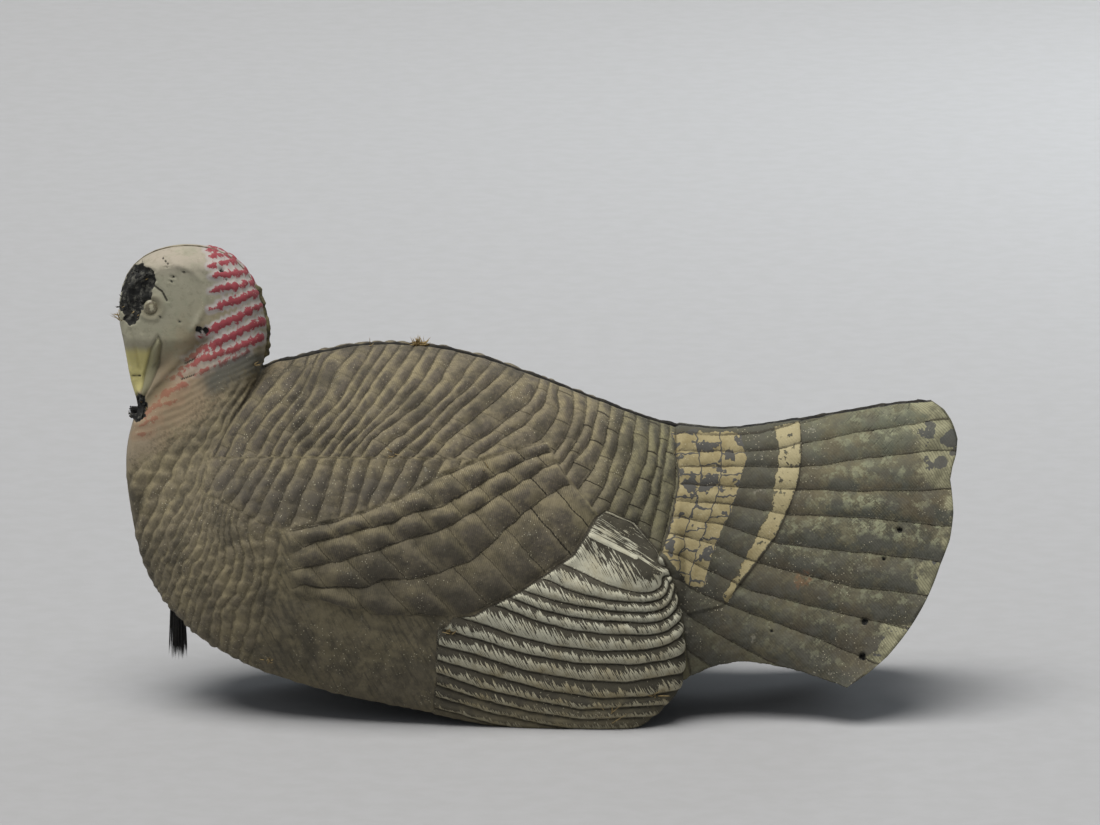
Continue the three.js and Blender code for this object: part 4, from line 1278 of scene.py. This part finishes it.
def dark_lines(s, body):
    """Painted shade in the grooves and cracks, and along the edges between the regions."""
    # painted shade in the grooves between rows and the cracks between feathers
    body = s.mix(s.groove * s.uneven, body, GROOVE_SHADE)
    body = s.mix(s.math("MULTIPLY", s.crack, 0.6, True), body, GROOVE_SHADE)
    # painted shade along the steps where these regions end
    for name, width, strength in (("white", 1.6, 0.9), ("tail", 1.3, 0.5), ("mid", 0.8, 0.15),
                                  ("covert_end", 1.1, 0.85)):
        gap = abs(s.field(name)) + s.ramp(s.mottle, 0.3, 0.7, -0.5, 0.5)
        line = s.ramp(gap, width, 0.2) * strength
        if name == "covert_end":
            line = line * (s.tail * s.ramp(s.up, 86, 98))
        if name == "white":
            line = line * s.ramp(s.across, -95, -30, 0.35, 1.0)
        body = s.mix(line, body, GROOVE_SHADE)
    return body


def head_paint(s):
    """Dirty white face, cream crown and beige neck, with brown in the eye socket and the folds."""
    s.height = s.split(s.at)[2]
    head = s.mix(s.ramp(s.height + s.mottle * 0.012, 0.385, 0.408), FACE_WHITE, CROWN_CREAM)
    shadowed = s.height + (s.across + s.patchy * 60) * -0.0006
    head = s.mix(s.ramp(shadowed, 0.575, 0.47, 0, 0.5), head, FACE_SHADE)
    neck = s.height - s.across * 0.001 + s.ramp(s.patchy, 0.4, 0.6, -0.012, 0.012)
    neck = s.ramp(neck, 0.665, 0.615)
    head = s.mix(neck * s.ramp(s.across, -345, -325), head, NECK_BEIGE)
    head = s.mix(s.ramp(s.mottle, 0.48, 0.7, 0, 0.55), head, FACE_OLIVE)
    head = s.mix(s.ramp(s.patchy, 0.5, 0.62, 0, 0.3), head, FACE_PALE)
    head = s.mix(s.ramp(s.grit, 0.52, 0.68, 0, 0.25), head, FACE_GRIT)
    socket = s.field("socket") + s.mottle * 7
    head = s.mix(s.ramp(socket, 19, 11, 0, 0.6) * s.ramp(socket, 5, 9), head, SOCKET_BROWN)
    return s.mix(s.field("fold") * 0.22, head, FOLD_BROWN)


def neck_paint(s, head):
    """Red ridges with a lavender halo, the olive bill, the jaw, the grey nape with painted shade in its
    notch, painted shade in the crease behind the jaw, and the cuts.
    """
    flush = s.ramp(s.field("red"), -11, -2, 0, 0.8) * s.ramp(s.height, 0.335, 0.285)
    head = s.mix(flush, head, NECK_FLUSH)
    halo = s.ramp(s.field("red"), -4.5, -1.5, 0, 0.8) * s.ramp(s.height, 0.28, 0.33)
    head = s.mix(halo, head, LAVENDER)
    reddish = s.field("red") + s.ramp(s.noise(s.at, 180, 4, 0.7), 0.35, 0.65, -1.6, 1.2)
    redness = s.mix(s.ramp(s.height, 0.27, 0.335), FADED_RED, RED_PAINT)
    red_cover = s.ramp(reddish, -0.8, 0.6) * s.ramp(s.height, 0.25, 0.33, 0.62, 0.94)
    head = s.mix(red_cover, head, redness)
    head = s.mix(s.ramp(s.field("bill"), 0.25, 0.7), head, BILL_OLIVE)
    head = s.mix(s.ramp(s.field("jaw"), -0.5, 1.0, 0, 0.9), head, JAW_GREEN)
    jaw_line = s.ramp(abs(s.field("jaw")), 1.6, 0.1, 0, 0.5)
    head = s.mix(jaw_line, head, JAW_LINE)
    # grey paint at the nape, and painted shade in the notch where the neck meets the back
    head = s.mix(s.ramp(s.field("stain"), -4, 8, 0, 0.85), head, NAPE_GREY)
    # painted shade in the crease between the jaw and the neck
    head = s.mix(s.ramp(s.field("valley") + s.mottle * 4, 11, 2, 0, 0.6), head, VALLEY_SHADE)
    return s.mix(s.ramp(s.field("cuts"), -0.3, 0.3, 0, 0.9), head, CUT_BLACK)


def debris(s, body):
    """Pale specks and scuffs, bare foam in the torn places, and straw."""
    flecks = s.ramp(s.cells(s.at, 330), 0.2, 0.08) * s.ramp(s.noise(s.at, 24, 2), 0.46, 0.62)
    body = s.mix(flecks * 0.85, body, SPECK)
    scuffs = s.ramp(s.noise(s.at, 95, 4, 0.7), 0.64, 0.72) * s.ramp(s.broad, 0.45, 0.6)
    body = s.mix(scuffs * 0.35, body, SCUFF)
    raw = s.ramp(s.field("torn") + s.ramp(s.fine, 0.3, 0.7, -0.6, 0.6), -0.2, 0.5)
    edge_raw = s.ramp(s.field("seam") + s.mottle * -3.0, 1.0, 0.0) * (1.0 - s.spray)
    shreds = s.noise(s.at, 240, 4, 0.7)
    hollow = s.noise(s.draw, 0.07, 2)
    foam = s.mix(s.ramp(shreds, 0.46, 0.66, 0, 0.8) * s.ramp(hollow, 0.42, 0.54), RAW_FOAM, SHRED_GREY)
    body = s.mix(s.most(raw, edge_raw), body, foam)
    return s.mix(s.field("straw"), body, s.mix(s.ramp(s.grit, 0.3, 0.7), STRAW_PALE, STRAW_DARK))


def finish_foam(s, body):
    """Fine relief below what the skin's mesh can carry."""
    normal = s.bump(s.groove + s.crack * 0.6, -0.0012, 0.8)
    normal = s.bump(s.barb * s.amount, 0.00012, 0.5, normal)
    normal = s.bump(s.fine, 0.0004, 0.5, normal)
    normal = s.bump(s.mottle, 0.0012, 0.5, normal)
    normal = s.bump(s.most(s.cream, s.white), 0.0004, 0.8, normal)
    rough = s.ramp(s.mottle, 0.3, 0.8, 0.78, 0.95)
    return s.finish(body, rough, normal, specular_ior_level=0.28)


def painted_foam():
    """Weathered paint on foam: bark colours on the feathers, white and cream marks, and the bare head."""
    s = Shader("painted_foam")
    read_feathers(s)
    body = feather_paint(s)
    for coat in (weather, grime_and_shade, white_feathers, cream_bands, worn_edge, dark_lines):
        body = coat(s, body)
    s.spray = s.ramp(s.field("head") + s.ramp(s.fine, 0.3, 0.7, -6, 6), -8, 14)
    body = s.mix(s.spray, body, neck_paint(s, head_paint(s)))
    return finish_foam(s, debris(s, body))


def eye_paint():
    """Faded paint: a brown ring round a khaki middle, with a pale dot in the centre that is a painted
    highlight.
    """
    s = Shader("eye")
    place = s.object_place()
    x, _, z = s.split(place)
    gap = s.add("VectorMath", {0: s.join(x, z), 1: (EYE[0] * MM, EYE[1] * MM, 0)}, output="Value",
                operation="DISTANCE")
    grain = s.noise(place, 260, 3)
    gap = gap + s.ramp(grain, 0.3, 0.7, -0.0012, 0.0012)
    # painted highlight: a pale dot in the middle of the eye
    colour = s.mix(s.ramp(gap, 0.0012, 0.002), EYE_HIGHLIGHT, EYE_KHAKI)
    colour = s.mix(s.ramp(grain, 0.42, 0.6), colour, EYE_DIRT)
    colour = s.mix(s.ramp(gap, 0.003, 0.0042), colour, EYE_RING)
    colour = s.mix(s.ramp(gap, 0.0048, 0.0062), colour, EYE_RIM)
    return s.finish(colour, 0.4, s.bump(grain, 0.0003, 0.5), specular_ior_level=0.4)


def dull(name):
    """One of the plain materials: a soft grain between two colours."""
    dark, light, scale, rough = DULL[name]
    s = Shader(name)
    place = s.object_place()
    grain = s.noise(place, scale, 4, 0.65)
    colour = s.mix(s.ramp(grain, 0.35, 0.75), dark, light)
    roughness = s.ramp(grain, 0.3, 0.7, rough, min(rough + 0.15, 1.0))
    normal = s.bump(s.noise(place, scale * 6, 3, 0.7), 0.0005, 0.6)
    return s.finish(colour, roughness, normal, specular_ior_level=0.3)


def wear(thing, material):
    thing.data.materials.clear()
    thing.data.materials.append(material)


# ---- stage ----
def add_light(name, place, target, size, energy, colour):
    lamp = bpy.data.lights.new(name, "AREA")
    lamp.shape = "DISK"
    lamp.size = size
    lamp.energy = energy
    lamp.color = colour
    thing = bpy.data.objects.new(name, lamp)
    bpy.context.scene.collection.objects.link(thing)
    thing.location = place
    aim(thing, target)


def aim(thing, target):
    way = Vector(target) - thing.location
    thing.rotation_euler = way.to_track_quat("-Z", "Y").to_euler()


CAMERA_TARGET = (0.0079, 0.0, 0.257)
CAMERA_DISTANCE = 8.0
CAMERA_ELEVATION = 12.0
FRAME_WIDTH = 0.968
SENSOR = 36  # millimetres
SUN_FROM, SUN_ENERGY, SUN_SPREAD = (-0.42, -0.48, 2.4), 3.6, 48.0
SUN_COLOUR = (1.0, 0.985, 0.96)
LAMPS = [  # name, place, target, size, energy and colour of each soft lamp
    ("fill", (-1.8, -2.2, 1.3), (0, 0, 0.15), 2.4, 7, (0.93, 0.96, 1.0)),
    ("far", (1.5, 3.0, 1.5), (0.8, 2.4, 0), 1.6, 24, (0.86, 0.94, 1.0)),
]
WORLD_COLOUR, WORLD_STRENGTH = (0.62, 0.65, 0.68, 1), 0.27
FLOOR_HALF = 9.0


def add_camera():
    camera = bpy.data.cameras.new("camera")
    camera.sensor_width = SENSOR
    camera.lens = SENSOR * CAMERA_DISTANCE / FRAME_WIDTH
    camera.clip_end = 50
    thing = bpy.data.objects.new("camera", camera)
    bpy.context.scene.collection.objects.link(thing)
    bpy.context.scene.camera = thing
    rise = math.radians(CAMERA_ELEVATION)
    tx, ty, tz = CAMERA_TARGET
    thing.location = (tx, ty - CAMERA_DISTANCE * math.cos(rise), tz + CAMERA_DISTANCE * math.sin(rise))
    aim(thing, CAMERA_TARGET)


def add_light_all_round():
    sun = bpy.data.lights.new("sun", "SUN")
    sun.energy = SUN_ENERGY
    sun.angle = math.radians(SUN_SPREAD)
    sun.color = SUN_COLOUR
    lamp = bpy.data.objects.new("sun", sun)
    bpy.context.scene.collection.objects.link(lamp)
    lamp.location = SUN_FROM
    aim(lamp, (0, 0, 0))
    for settings in LAMPS:
        add_light(*settings)
    world = bpy.data.worlds.new("world")
    world.use_nodes = True
    background = world.node_tree.nodes["Background"]
    background.inputs["Color"].default_value = WORLD_COLOUR
    background.inputs["Strength"].default_value = WORLD_STRENGTH
    bpy.context.scene.world = world
    bpy.context.scene.view_settings.view_transform = "Standard"


def add_floor():
    h = FLOOR_HALF
    floor = build_mesh("floor", [(-h, -h, 0), (h, -h, 0), (h, h, 0), (-h, h, 0)], [[(0, 1, 2, 3)]], flat=True)
    s = Shader("paper")
    tone = s.mix(s.ramp(s.noise(s.object_place(), 40, 3), 0.3, 0.7), PAPER_DARK, PAPER_LIGHT)
    wear(floor, s.finish(tone, 0.8))


def main():
    add_camera()
    add_light_all_round()
    add_floor()
    paint = painted_foam()
    for name, node, side in (("left_skin", "left_shell", -1), ("right_skin", "right_shell", 1)):
        skin = make_skin(name, side)
        wear(skin, paint)
        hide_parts(node)
    glue = dull("seam_glue")
    wear(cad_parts["breast_seam_bead"], glue)
    wear(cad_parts["head_seam_bead"], dull("head_glue"))
    back = make_flash("back_flash", NAPE + 0.2, LAST - 0.3, 0.8, 3.2, 90)
    wear(back, glue)
    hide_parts("back_seam_bead")
    nape = make_flash("nape_flash", 7.2, NAPE, 0.6, 8.0, 95)
    wear(nape, dull("old_glue"))
    wear(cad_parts["socket_doubler"], dull("raw_foam"))
    plastic = dull("black_plastic")
    for node in ("stake_socket", "beard_hanger", "beard_ferrule"):
        wear(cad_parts[node], plastic)
    wear(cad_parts["beard_pin"], dull("pin_steel"))
    eye = eye_paint()
    for node in ("left_eye", "right_eye"):
        wear(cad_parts[node], eye)
    beard = make_beard()
    wear(beard, dull("bristle"))
    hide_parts("beard_bristles")


main()
